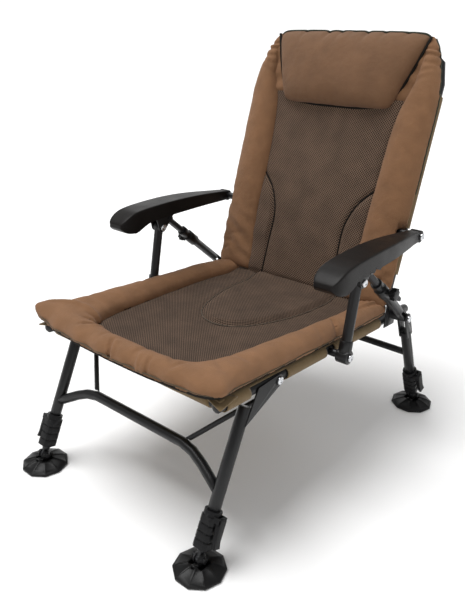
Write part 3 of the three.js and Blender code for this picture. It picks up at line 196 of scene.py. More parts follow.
@dataclass(frozen=True)
class Layout:
    """Places that the chair's frame gives, in metres and radians."""

    rail: SideFrame
    back: SideFrame
    rail_x: float = 243 * MM

    RAIL_DROP_DEG = 4.8
    BACK_LEAN_DEG = 19.1
    PIVOT_AT = 589.5 * MM
    PIVOT_RISE = 53.9 * MM

    @classmethod
    def from_frame(cls, frame: dict) -> "Layout":
        """Returns the layout whose back pivot is the frame's own joint.
        """
        joint = next(j for j in frame["joints"] if j["name"] == "back_fold")
        _, y, z = joint["pos_m"]
        angle = math.radians(-cls.RAIL_DROP_DEG)
        c, s = math.cos(angle), math.sin(angle)
        rail = SideFrame(
            y - cls.PIVOT_AT * c + cls.PIVOT_RISE * s,
            z - cls.PIVOT_AT * s - cls.PIVOT_RISE * c,
            angle,
        )
        back = SideFrame(y, z, math.radians(90 - cls.BACK_LEAN_DEG))
        return cls(rail=rail, back=back)


@contextmanager
def opened(mesh: bpy.types.Mesh) -> Iterator[bmesh.types.BMesh]:
    """Opens a mesh for editing, and writes it back afterwards."""
    made = bmesh.new()
    made.from_mesh(mesh)
    yield made
    made.to_mesh(mesh)
    made.free()


def linked(name: str, data: bpy.types.ID) -> Thing:
    """Returns a new object with the data, linked to the scene."""
    thing = bpy.data.objects.new(name, data)
    bpy.context.scene.collection.objects.link(thing)
    return thing


def apply(thing: Thing, name: str, kind: str, **settings: object) -> None:
    """Applies a new modifier to the active object.

    Args:
        thing: The active object.
        name: The modifier's name.
        kind: The modifier's type.
        settings: Its settings by name.
    """
    modifier = thing.modifiers.new(name, kind)
    for key, value in settings.items():
        setattr(modifier, key, value)
    bpy.ops.object.modifier_apply(modifier=modifier.name)


def soften(thing: Thing) -> None:
    """Shades all of an object's faces smoothly."""
    for face in thing.data.polygons:
        face.use_smooth = True


class Sewing:
    """Mesh code that every soft piece shares: cell size, filling and thickness of the cloth."""

    REMESH = 6.0 * MM
    PRESSURE = 4.0
    LAST_FRAME = 16
    CLOTH = 1.8 * MM
    UNEVEN = 0.5 * MM

    @staticmethod
    def piece(name: str, points: Sequence[Vector], faces: Sequence[Sequence[int]]) -> Thing:
        """Returns a new object with outward faces at the origin.

        Args:
            name: The object's name.
            points: Its vertices in the row frame.
            faces: Indices of each face's vertices.
        """
        mesh = bpy.data.meshes.new(name)
        mesh.from_pydata([tuple(p) for p in points], [], [list(f) for f in faces])
        with opened(mesh) as made:
            bmesh.ops.recalc_face_normals(made, faces=made.faces)
        thing = linked(name, mesh)
        soften(thing)
        return thing

    @classmethod
    def loft(cls, name: str, rings: Sequence[Sequence[Vector]]) -> Thing:
        """Returns a solid through rings of points, capped at both ends.

        Args:
            name: The object's name.
            rings: Rings with equal counts of points.
        """
        count = len(rings[0])
        points = [p for ring in rings for p in ring]
        faces = []
        for i in range(len(rings) - 1):
            a, b = i * count, (i + 1) * count
            for k in range(count):
                n = (k + 1) % count
                faces.append((a + k, a + n, b + n, b + k))
        faces.append(tuple(range(count)))
        faces.append(tuple(range((len(rings) - 1) * count, len(rings) * count)))
        return cls.piece(name, points, faces)

    @classmethod
    def tube(cls, name: str, path: Sequence[Vector], radius: float,
             sides: int = 8) -> Thing:
        """Returns a round tube along a path, for piping and seams.

        Args:
            name: The object's name.
            path: Points of the middle line.
            radius: The tube's radius.
            sides: Points round the tube.
        """
        rings = []
        last = len(path) - 1
        side = Vector((1, 0, 0))
        for i, place in enumerate(path):
            tangent = (path[min(i + 1, last)] - path[max(i - 1, 0)]).normalized()
            flat = side - tangent * side.dot(tangent)
            if flat.length < 0.2:
                flat = Vector((0, 0, 1)) - tangent * tangent.z
            side = flat.normalized()
            up = tangent.cross(side)
            rings.append([
                place + (side * math.cos(a) + up * math.sin(a)) * radius
                for a in (2 * math.pi * k / sides for k in range(sides))
            ])
        return cls.loft(name, rings)

    @classmethod
    def slab(cls, name: str, columns: int, rows: int, top: Callable[[float, float], Vector],
             base: Callable[[float, float], Vector]) -> Thing:
        """Returns a closed pad between two surfaces over a unit square.

        Args:
            name: The object's name.
            columns: Cells across.
            rows: Cells along.
            top: The front surface at (u, v).
            base: The rear surface at (u, v).
        """
        points = []
        for surface in (top, base):
            for j in range(rows + 1):
                for i in range(columns + 1):
                    points.append(surface(i / columns, j / rows))
        wide = columns + 1
        layer = wide * (rows + 1)
        faces = []
        for j in range(rows):
            for i in range(columns):
                a = j * wide + i
                faces.append((a, a + 1, a + wide + 1, a + wide))
                faces.append((layer + a, layer + a + wide, layer + a + wide + 1, layer + a + 1))
        rim = list(range(columns))
        rim += [j * wide + columns for j in range(rows)]
        rim += [rows * wide + i for i in range(columns, 0, -1)]
        rim += [j * wide for j in range(rows, 0, -1)]
        for k, a in enumerate(rim):
            b = rim[(k + 1) % len(rim)]
            faces.append((a, layer + a, layer + b, b))
        return cls.piece(name, points, faces)

    @classmethod
    def sleeve(cls, name: str, frame: SideFrame, half: float, at: float, radius: float,
               cells: int, seed: float) -> Thing:
        """Returns a slightly uneven roll of cloth round a bar across the chair.

        Args:
            name: The object's name.
            frame: The frame that the bar is in.
            half: Half the roll's length.
            at: Where the bar is along the frame.
            radius: The roll's radius.
            cells: Cells along the bar.
            seed: Which pattern of unevenness.
        """
        rings = []
        for i in range(cells + 1):
            x = mix(-half, half, i / cells)
            ring = []
            for turn in (2 * math.pi * k / 24 for k in range(24)):
                c, s = math.cos(turn), math.sin(turn)
                uneven = radius + cls.UNEVEN * ripple(Vector((x, c, s)), 9, seed)
                ring.append(frame.point(x, at + uneven * c, uneven * s))
            rings.append(ring)
        return cls.loft(name, rings)

    @classmethod
    def cloth_grid(cls, name: str, frame: SideFrame, rows: Sequence[float],
                   profile: Callable[[float], list[tuple[float, float]]],
                   cut: Callable[[float, int, int], bool]) -> Thing:
        """Returns a sheet through rows of points, with its notches cut out.

        Args:
            name: The object's name.
            frame: The frame that the rows are in.
            rows: Where the rows are along the frame.
            profile: A row's points across and out of the frame.
            cut: Tells from a place, a cell and the points in a row whether the cell is cut.
        """
        grid = [[frame.point(x, row, out) for x, out in profile(row)] for row in rows]
        count = len(grid[0])
        faces = []
        for j in range(len(rows) - 1):
            middle = (rows[j] + rows[j + 1]) / 2
            for a in (j * count + i for i in range(count - 1) if not cut(middle, i, count)):
                faces.append((a, a + 1, a + count + 1, a + count))
        thing = cls.piece(name, [p for row in grid for p in row], faces)
        cls.thicken(thing, cls.CLOTH)
        return thing

    @staticmethod
    def choose(thing: Thing) -> None:
        """Makes an object the only one selected, and active."""
        bpy.ops.object.select_all(action="DESELECT")
        thing.select_set(True)
        bpy.context.view_layer.objects.active = thing

    @classmethod
    def subdivide(cls, thing: Thing) -> None:
        """Applies one level of subdivision surface to an object."""
        cls.choose(thing)
        apply(thing, "subdivision", "SUBSURF", levels=1)

    @classmethod
    def thicken(cls, thing: Thing, thickness: float) -> None:
        """Gives an open sheet its thickness, centred on its surface, and drops loose points."""
        with opened(thing.data) as made:
            loose = [v for v in made.verts if not v.link_faces]
            bmesh.ops.delete(made, geom=loose, context="VERTS")
        cls.choose(thing)
        apply(thing, "thickness", "SOLIDIFY", thickness=thickness, offset=0)

    @classmethod
    def remesh(cls, thing: Thing, voxel: float) -> None:
        """Applies a voxel remesh to an object."""
        cls.choose(thing)
        apply(thing, "voxels", "REMESH", mode="VOXEL", voxel_size=voxel)
        soften(thing)

    @classmethod
    def swell(cls, thing: Thing, cap: float, held: Callable[[Vector], float]) -> None:
        """Fills a closed form with a cloth simulation, and applies the result.

        Args:
            thing: The closed form.
            cap: How far a point may move, in metres.
            held: How firmly a point is pinned, from 0 to 1.
        """
        cls.remesh(thing, cls.REMESH)
        mesh = thing.data
        before = [v.co.copy() for v in mesh.vertices]
        group = thing.vertex_groups.new(name="held")
        for vertex in mesh.vertices:
            weight = held(vertex.co)
            if weight > 0:
                group.add([vertex.index], weight, "REPLACE")
        cloth = thing.modifiers.new("filling", "CLOTH")
        settings = cloth.settings
        settings.quality = 3
        settings.mass = 0.3
        settings.use_pressure = True
        settings.uniform_pressure_force = cls.PRESSURE
        settings.effector_weights.gravity = 0
        settings.vertex_group_mass = group.name
        cloth.point_cache.frame_start = 1
        cloth.point_cache.frame_end = cls.LAST_FRAME
        scene = bpy.context.scene
        for step in range(1, cls.LAST_FRAME + 1):
            scene.frame_set(step)
        shaped = thing.evaluated_get(bpy.context.evaluated_depsgraph_get()).to_mesh()
        after = [v.co.copy() for v in shaped.vertices]
        thing.modifiers.remove(cloth)
        thing.vertex_groups.remove(group)
        for vertex, start, end in zip(mesh.vertices, before, after):
            move = end - start
            if not math.isfinite(move.length):
                continue
            if move.length > cap:
                move = move.normalized() * cap
            vertex.co = start + move
        scene.frame_set(1)
        cls.relax(thing, 2)
        cls.subdivide(thing)

    @staticmethod
    def snap(path: Sequence[Vector], thing: Thing, proud: float) -> list[Vector]:
        """Returns a path laid onto a piece's finished surface and evened out.

        Args:
            path: Points near the surface.
            thing: The piece.
            proud: How far the path stands out of it, in metres.
        """
        tree = BVHTree.FromPolygons([v.co for v in thing.data.vertices],
                                    [f.vertices for f in thing.data.polygons])
        laid = []
        for spot in path:
            place, normal, _, _ = tree.find_nearest(spot)
            laid.append(place + normal * proud)
        return Sewing.even(laid)

    @staticmethod
    def even(path: Sequence[Vector]) -> list[Vector]:
        """Returns the path with its corners eased."""
        for _ in range(3):
            eased = [(a + b * 2 + c) / 4 for a, b, c in zip(path, path[1:], path[2:])]
            path = [path[0]] + eased + [path[-1]]
        return path

    @staticmethod
    def mirrored(thing: Thing, name: str) -> Thing:
        """Returns a copy of an object on the other side of the chair, facing outwards.

        Args:
            thing: The object to copy.
            name: The copy's name.
        """
        mesh = thing.data.copy()
        mesh.name = name
        copy = linked(name, mesh)
        for vertex in mesh.vertices:
            vertex.co.x = -vertex.co.x
        with opened(mesh) as made:
            bmesh.ops.reverse_faces(made, faces=made.faces)
        return copy

    @staticmethod
    def relax(thing: Thing, rounds: int) -> None:
        """Evens out an object's surface a little."""
        with opened(thing.data) as made:
            for _ in range(rounds):
                bmesh.ops.smooth_vert(made, verts=made.verts, factor=0.4, use_axis_x=True,
                                      use_axis_y=True, use_axis_z=True)

    @staticmethod
    def shift(thing: Thing, move: Callable[[Vector, Vector], Vector]) -> None:
        """Moves each point by what a function of its place and normal says."""
        for vertex in thing.data.vertices:
            vertex.co = vertex.co + move(vertex.co, vertex.normal)
        thing.data.update()


@dataclass(frozen=True)
class Finish:
    """A surface's look.

    Args:
        colour: Linear base colour.
        roughness: Base roughness.
        metallic: The metallic value.
        sheen: Sheen weight for cloth.
        specular: Specular level.
    """

    colour: tuple[float, float, float]
    roughness: float
    metallic: float = 0.0
    sheen: float = 0.0
    specular: float = 0.35


def add_node(tree: Tree, kind: str, inputs: dict[str, object],
             **settings: object) -> bpy.types.Node:
    """Returns a new shader node with its settings and input values.

    Args:
        tree: The tree that it joins.
        kind: Its type.
        inputs: Values of its inputs by name.
        settings: Its settings by name.
    """
    node = tree.nodes.new(kind)
    for key, value in settings.items():
        setattr(node, key, value)
    for key, value in inputs.items():
        node.inputs[key].default_value = value
    return node


class Materials:
    """Procedural materials built from shared node groups."""

    FINISHES = {
        "black_steel": Finish((0.006, 0.006, 0.0065), 0.36),
        "charcoal_steel": Finish((0.016, 0.0165, 0.018), 0.38),
        "black_plastic": Finish((0.005, 0.005, 0.0055), 0.45, specular=0.2),
        "foot_plastic": Finish((0.005, 0.005, 0.0052), 0.4, specular=0.18),
        "arm_plastic": Finish((0.0085, 0.0073, 0.0068), 0.38, specular=0.12),
    }
    BRIGHT = Finish((0.62, 0.63, 0.65), 0.25, metallic=1.0)
    SKIN = Finish((0.2, 0.1, 0.047), 0.92, sheen=0.05)
    PILLOW = Finish((0.155, 0.08, 0.04), 0.92, sheen=0.05)
    PIPING = Finish((0.022, 0.026, 0.014), 0.8, sheen=0.15)
    OLIVE = Finish((0.15, 0.1, 0.045), 0.85, sheen=0.1)
    HEM = Finish((0.075, 0.052, 0.028), 0.85, sheen=0.05)
    # near-black cloth; also used for the painted shadow round the head pillow
    DARK_CLOTH = Finish((0.01, 0.008, 0.006), 0.9, specular=0.15)
    THREAD = Finish((0.1, 0.08, 0.06), 0.8)
    MESH = Finish((0.19, 0.12, 0.08), 0.95)
    MESH_DARK = Finish((0.142, 0.09, 0.06), 0.95)

    def __init__(self) -> None:
        """Makes the shared node groups."""
        self.grain = self._grain_group()
        self.weave = self._weave_group()
        self.holes = self._holes_group()

    @staticmethod
    def _group(name: str, inputs: Sequence[tuple[str, str, float]],
               outputs: Sequence[tuple[str, str]]) -> Tree:
        """Returns a new node group with its sockets.

        Args:
            name: The group's name.
            inputs: Name, socket type and default of each input.
            outputs: Name and socket type of each output.
        """
        tree = bpy.data.node_groups.new(name, "ShaderNodeTree")
        for label, kind, default in inputs:
            socket = tree.interface.new_socket(name=label, in_out="INPUT", socket_type=kind)
            if kind == "NodeSocketFloat":
                socket.default_value = default
        for label, kind in outputs:
            tree.interface.new_socket(name=label, in_out="OUTPUT", socket_type=kind)
        return tree

    def _grain_group(self) -> Tree:
        """Returns the group of soft blotches and fine grain."""
        tree = self._group(
            "SurfaceGrain",
            [("Vector", "NodeSocketVector", 0), ("Blotch", "NodeSocketFloat", 14.0),
             ("Grain", "NodeSocketFloat", 900.0)],
            [("Blotches", "NodeSocketFloat"), ("Grain", "NodeSocketFloat")],
        )
        nodes, links = tree.nodes, tree.links
        source = nodes.new("NodeGroupInput")
        sink = nodes.new("NodeGroupOutput")
        for index, (scale, detail) in enumerate((("Blotch", 4.0), ("Grain", 2.0))):
            tex = add_node(tree, "ShaderNodeTexNoise", {"Detail": detail})
            links.new(source.outputs["Vector"], tex.inputs["Vector"])
            links.new(source.outputs[scale], tex.inputs["Scale"])
            links.new(tex.outputs["Fac"], sink.inputs[index])
        return tree

    def _weave_group(self) -> Tree:
        """Returns the group of a plain weave from two crossed waves."""
        tree = self._group(
            "PlainWeave",
            [("Vector", "NodeSocketVector", 0), ("Threads", "NodeSocketFloat", 420.0)],
            [("Height", "NodeSocketFloat")],
        )
        nodes, links = tree.nodes, tree.links
        source = nodes.new("NodeGroupInput")
        sink = nodes.new("NodeGroupOutput")
        total = add_node(tree, "ShaderNodeMath", {}, operation="ADD")
        for index, direction in enumerate(("X", "DIAGONAL")):
            wave = add_node(tree, "ShaderNodeTexWave", {"Distortion": 1.2, "Detail": 1.0},
                            bands_direction=direction)
            links.new(source.outputs["Vector"], wave.inputs["Vector"])
            links.new(source.outputs["Threads"], wave.inputs["Scale"])
            links.new(wave.outputs["Fac"], total.inputs[index])
        links.new(total.outputs[0], sink.inputs["Height"])
        return tree

    def _holes_group(self) -> Tree:
        """Returns the group of staggered round holes over two in-plane coordinates."""
        tree = self._group(
            "SpacerHoles",
            [("Across", "NodeSocketFloat", 0), ("Along", "NodeSocketFloat", 0),
             ("Pitch", "NodeSocketFloat", 0.0062)],
            [("Mask", "NodeSocketFloat")],
        )
        nodes, links = tree.nodes, tree.links
        source = nodes.new("NodeGroupInput")
        sink = nodes.new("NodeGroupOutput")

        def math_node(operation: str, *values: object) -> Socket:
            node = add_node(tree, "ShaderNodeMath", {}, operation=operation)
            for slot, value in zip(node.inputs, values):
                if isinstance(value, Socket):
                    links.new(value, slot)
                else:
                    slot.default_value = value
            return node.outputs[0]

        across = math_node("DIVIDE", source.outputs["Across"], source.outputs["Pitch"])
        along = math_node("DIVIDE", source.outputs["Along"], source.outputs["Pitch"])
        lattices = []
        for offset in (0.0, 0.5):
            parts = []
            for value in (across, along):
                cell = math_node("FRACT", math_node("ADD", value, offset))
                parts.append(math_node("SUBTRACT", cell, 0.5))
            squares = [math_node("MULTIPLY", p, p) for p in parts]
            lattices.append(math_node("SQRT", math_node("ADD", *squares)))
        nearest = math_node("MINIMUM", *lattices)
        ramp = add_node(tree, "ShaderNodeMapRange", {"From Min": 0.22, "From Max": 0.34})
        links.new(nearest, ramp.inputs["Value"])
        links.new(ramp.outputs["Result"], sink.inputs["Mask"])
        return tree

    @staticmethod
    def _base(name: str, finish: Finish) -> tuple[bpy.types.Material, bpy.types.Node]:
        """Returns a new material and its shader with the finish's constants set."""
        material = bpy.data.materials.new(name)
        material.use_nodes = True
        shader = material.node_tree.nodes["Principled BSDF"]
        values = {
            "Base Color": (*finish.colour, 1), "Roughness": finish.roughness,
            "Metallic": finish.metallic, "Sheen Weight": finish.sheen,
            "Sheen Roughness": 0.5, "Specular IOR Level": finish.specular,
        }
        for label, value in values.items():
            shader.inputs[label].default_value = value
        return material, shader

    def _grain_node(self, tree: Tree, blotch: float, grain: float) -> bpy.types.Node:
        """Adds the grain group over object coordinates, and returns its node."""
        coords = tree.nodes.new("ShaderNodeTexCoord")
        node = add_node(tree, "ShaderNodeGroup", {}, node_tree=self.grain)
        node.inputs["Blotch"].default_value = blotch
        node.inputs["Grain"].default_value = grain
        tree.links.new(coords.outputs["Object"], node.inputs["Vector"])
        return node

    @staticmethod
    def _shade(tree: Tree, shader: bpy.types.Node, factor: Socket,
               low: Sequence[float], high: Sequence[float]) -> bpy.types.Node:
        """Links a blend of two colours by a factor to the shader's base colour."""
        blend = add_node(tree, "ShaderNodeMix", {"A": (*low, 1), "B": (*high, 1)},
                         data_type="RGBA")
        tree.links.new(factor, blend.inputs["Factor"])
        tree.links.new(blend.outputs["Result"], shader.inputs["Base Color"])
        return blend

    @staticmethod
    def _bump(tree: Tree, shader: bpy.types.Node, height: Socket,
              distance: float, strength: float) -> None:
        """Adds a bump of a height map to the shader, after any bump already there."""
        bump = add_node(tree, "ShaderNodeBump", {"Distance": distance, "Strength": strength})
        tree.links.new(height, bump.inputs["Height"])
        normal = shader.inputs["Normal"]
        if normal.is_linked:
            tree.links.new(normal.links[0].from_socket, bump.inputs["Normal"])
        tree.links.new(bump.outputs["Normal"], normal)

    @staticmethod
    def _range(tree: Tree, value: Socket, low: float,
               high: float) -> Socket:
        """Returns a value from 0 to 1 spread between low and high."""
        node = add_node(tree, "ShaderNodeMapRange", {
            "From Min": 0.3, "From Max": 0.7, "To Min": low, "To Max": high,
        })
        tree.links.new(value, node.inputs["Value"])
        return node.outputs["Result"]

    def hard(self, name: str, finish: Finish) -> bpy.types.Material:
        """Returns a painted, plastic or metal material with fine grain and soft blotches.

        Args:
            name: The material's name.
            finish: Its look.
        """
        material, shader = self._base(name, finish)
        tree = material.node_tree
        grain = self._grain_node(tree, blotch=22.0, grain=1400.0)
        low = [c * 0.8 for c in finish.colour]
        high = [c * 1.25 + 0.001 for c in finish.colour]
        self._shade(tree, shader, grain.outputs["Blotches"], low, high)
        rough = self._range(tree, grain.outputs["Blotches"], finish.roughness - 0.06,
                            finish.roughness + 0.08)
        tree.links.new(rough, shader.inputs["Roughness"])
        self._bump(tree, shader, grain.outputs["Grain"], distance=0.00015, strength=0.5)
        return material

    def cloth(self, name: str, finish: Finish, threads: float = 420.0,
              relief: float = 0.0002) -> bpy.types.Material:
        """Returns a cloth with a weave, a nap of soft blotches and fine creases.

        Args:
            name: The material's name.
            finish: Its look.
            threads: Scale of the weave.
            relief: Depth of the weave in metres.
        """
        material, shader = self._base(name, finish)
        tree = material.node_tree
        grain = self._grain_node(tree, blotch=26.0, grain=700.0)
        low = [c * 0.74 for c in finish.colour]
        high = [c * 1.24 for c in finish.colour]
        self._shade(tree, shader, grain.outputs["Blotches"], low, high)
        weave = add_node(tree, "ShaderNodeGroup", {}, node_tree=self.weave)
        weave.inputs["Threads"].default_value = threads
        coords = tree.nodes.new("ShaderNodeTexCoord")
        tree.links.new(coords.outputs["Object"], weave.inputs["Vector"])
        self._bump(tree, shader, weave.outputs["Height"], distance=relief, strength=0.5)
        self._bump(tree, shader, grain.outputs["Grain"], distance=0.0004, strength=0.5)
        self._bump(tree, shader, grain.outputs["Blotches"], distance=0.005, strength=0.45)
        crumple = self._grain_node(tree, blotch=78.0, grain=170.0)
        self._bump(tree, shader, crumple.outputs["Blotches"], distance=0.0022, strength=0.4)
        self._bump(tree, shader, crumple.outputs["Grain"], distance=0.0009, strength=0.3)
        return material

    def mesh_cloth(self, name: str, finish: Finish, along: Vector,
                   pitch: float) -> bpy.types.Material:
        """Returns a spacer mesh with staggered dark holes over its plane.

        Args:
            name: The material's name.
            finish: Its look.
            along: The direction of the cloth's length.
            pitch: Distance between holes in metres.
        """
        material, shader = self._base(name, finish)
        tree = material.node_tree
        nodes, links = tree.nodes, tree.links
        coords = nodes.new("ShaderNodeTexCoord")
        split = nodes.new("ShaderNodeSeparateXYZ")
        links.new(coords.outputs["Object"], split.inputs["Vector"])
        dot = add_node(tree, "ShaderNodeVectorMath", {}, operation="DOT_PRODUCT")
        dot.inputs[1].default_value = along
        links.new(coords.outputs["Object"], dot.inputs[0])
        holes = add_node(tree, "ShaderNodeGroup", {}, node_tree=self.holes)
        holes.inputs["Pitch"].default_value = pitch
        links.new(split.outputs["X"], holes.inputs["Across"])
        links.new(dot.outputs["Value"], holes.inputs["Along"])
        dark = [c * 0.06 for c in finish.colour]
        blend = self._shade(tree, shader, holes.outputs["Mask"], dark, finish.colour)
        grain = self._grain_node(tree, blotch=20.0, grain=900.0)
        tint = add_node(tree, "ShaderNodeMix", {"Factor": 1.0}, data_type="RGBA",
                        blend_type="MULTIPLY")
        shade = self._range(tree, grain.outputs["Blotches"], low=0.8, high=1.15)
        links.new(blend.outputs["Result"], tint.inputs["A"])
        links.new(shade, tint.inputs["B"])
        links.new(tint.outputs["Result"], shader.inputs["Base Color"])
        self._bump(tree, shader, holes.outputs["Mask"], distance=0.0012, strength=0.8)
        self._bump(tree, shader, grain.outputs["Grain"], distance=0.0003, strength=0.4)
        return material


def dress(thing: Thing, material: bpy.types.Material) -> Thing:
    """Gives an object one material, and returns the object.

    Args:
        thing: The object.
        material: Its material.
    """
    thing.data.materials.clear()
    thing.data.materials.append(material)
    return thing


def spline(keys: Sequence[Sequence[float]], at: float) -> list[float]:
    """Returns the values at a place on a smooth curve through keys.

    Args:
        keys: Rows whose first number is the place, in rising order.
        at: The place.
    """
    if at <= keys[0][0]:
        return list(keys[0][1:])
    if at >= keys[-1][0]:
        return list(keys[-1][1:])
    i = next(k for k in range(len(keys) - 1) if keys[k + 1][0] >= at)
    p1, p2 = keys[i], keys[i + 1]
    p0 = keys[max(i - 1, 0)]
    p3 = keys[min(i + 2, len(keys) - 1)]
    span = p2[0] - p1[0]
    t = (at - p1[0]) / span
    out = []
    for k in range(1, len(p1)):
        m1 = (p2[k] - p0[k]) / max(p2[0] - p0[0], 1e-9) * span
        m2 = (p3[k] - p1[k]) / max(p3[0] - p1[0], 1e-9) * span
        out.append(
            (2 * t ** 3 - 3 * t ** 2 + 1) * p1[k] + (t ** 3 - 2 * t ** 2 + t) * m1
            + (3 * t ** 2 - 2 * t ** 3) * p2[k] + (t ** 3 - t ** 2) * m2
        )
    return out


def ripple(place: Vector, scale: float, seed: float) -> float:
    """Returns smooth noise from about -1 to 1 at a place.

    Args:
        place: The place in metres.
        scale: Waves for each metre.
        seed: Which pattern.
    """
    return noise.noise(place * scale + Vector((seed, seed * 1.7, -seed)))


class Bench:
    """Operator work that the hard pieces share."""

    SMOOTH_DEG = 35

    @staticmethod
    def clear() -> None:
        """Leaves edit mode and deselects everything."""
        if bpy.context.object is not None and bpy.context.object.mode != "OBJECT":
            bpy.ops.object.mode_set(mode="OBJECT")
        bpy.ops.object.select_all(action="DESELECT")

    @staticmethod
    def pick(thing: Thing, kind: str,
             wanted: Callable[[Vector, Vector], bool]) -> None:
        """Selects faces or points by their place and normal, and stays in edit mode.

        Args:
            thing: The object in edit mode.
            kind: "FACE" or "VERT".
            wanted: Tells from a place and a normal whether it is taken.
        """
        bpy.ops.mesh.select_mode(type=kind)
        bpy.ops.mesh.select_all(action="DESELECT")
        made = bmesh.from_edit_mesh(thing.data)
        for item in (made.faces if kind == "FACE" else made.verts):
            where = item.calc_center_median() if kind == "FACE" else item.co
            if wanted(where, item.normal):
                item.select_set(True)
        made.select_flush_mode()
        bmesh.update_edit_mesh(thing.data)

    @staticmethod
    def bevel(thing: Thing, width: float) -> None:
        """Applies a small bevel to a piece's sharp edges."""
        apply(thing, "edges", "BEVEL", width=width, segments=2, limit_method="ANGLE")

    @classmethod
    def place(cls) -> None:
        """Moves the active object's place, turn and size into its mesh, shaded by angle."""
        bpy.ops.object.transform_apply(location=True, rotation=True, scale=True)
        bpy.ops.object.shade_smooth_by_angle(angle=math.radians(cls.SMOOTH_DEG))

    @classmethod
    def copy(cls, thing: Thing, name: str, move: Vector, flip: bool) -> Thing:
        """Returns a copy with its own mesh, moved, and mirrored across the chair if asked.

        Args:
            thing: The finished piece at the origin.
            name: The copy's name.
            move: How far it goes.
            flip: Whether it is mirrored in x first.
        """
        made = Sewing.mirrored(thing, name) if flip else thing.copy()
        if not flip:
            made.data = thing.data.copy()
            made.name = made.data.name = name
            bpy.context.scene.collection.objects.link(made)
        for vertex in made.data.vertices:
            vertex.co = vertex.co + move
        return made


@dataclass
class Fasteners:
    """Bright bolt and rivet heads on the frame's black bolts.

    Args:
        joints: Where each joint is, by name, in metres.
        materials: The shop's materials.
    """

    joints: dict
    materials: Materials
    radius: float = 8.4 * MM
    height: float = 4.4 * MM

    PLACES = (
        ("front_leg_fold", "rail_rivet", 257.4, 1, "seat_frame"),
        ("post_swing_left", "post_bolt", 300.2, 1, "seat_frame"),
        ("armrest_swing_left", "bracket_bolt", 301.3, 1, "armrest"),
        ("armrest_swing_left", "bracket_bolt_inner", 272.8, -1, "armrest"),
        ("armrest_rear", "stub_bolt", 299.2, 1, "backrest"),
        ("rear_leg_fold", "rear_bolt", 298.4, 1, "seat_frame"),
    )

    def head(self) -> Thing:
        """Returns one domed head with a round socket, facing +x at the origin."""
        Bench.clear()
        bpy.ops.mesh.primitive_cylinder_add(
            vertices=24, radius=self.radius, depth=self.height, location=(self.height / 2, 0, 0),
            rotation=(0, math.radians(90), 0),
        )
        thing = bpy.context.active_object
        thing.name = "bolt_head"
        bpy.ops.object.transform_apply(location=True, rotation=True, scale=True)
        bpy.ops.object.mode_set(mode="EDIT")
        end = self.height - 0.01 * MM

        def front(place: Vector, normal: Vector) -> bool:
            return normal.x > 0.9 and place.x > end

        for inset, rise in ((1.2, 0.9), (1.6, 0.6), (1.8, 0.2)):
            Bench.pick(thing, "FACE", lambda place, normal: front(place, normal)
                       and place.yz.length < 0.2 * MM)
            bpy.ops.mesh.inset(thickness=inset * MM)
            bpy.ops.transform.translate(value=(rise * MM, 0, 0))
        bpy.ops.mesh.inset(thickness=0.5 * MM)
        bpy.ops.transform.translate(value=(-1.8 * MM, 0, 0))
        bpy.ops.object.mode_set(mode="OBJECT")
        Bench.bevel(thing, 0.5 * MM)
        Bench.place()
        return thing

    def build(self) -> None:
        """Sets a head on each bolt's end on both sides."""
        head = self.head()
        dress(head, self.materials.hard("bright_steel", Materials.BRIGHT))
        for joint, name, x, way, body in self.PLACES:
            place = self.joints[joint]
            for side in Side:
                flip = side.value * way < 0
                move = Vector((side.value * x * MM, place[1], place[2]))
                made = Bench.copy(head, f"{name}_{side.word}", move, flip)
                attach(made, f"{body}_{side.word}" if body == "armrest" else body)
        bpy.data.objects.remove(head)
        LOG.info("fasteners: %d heads", 2 * len(self.PLACES))


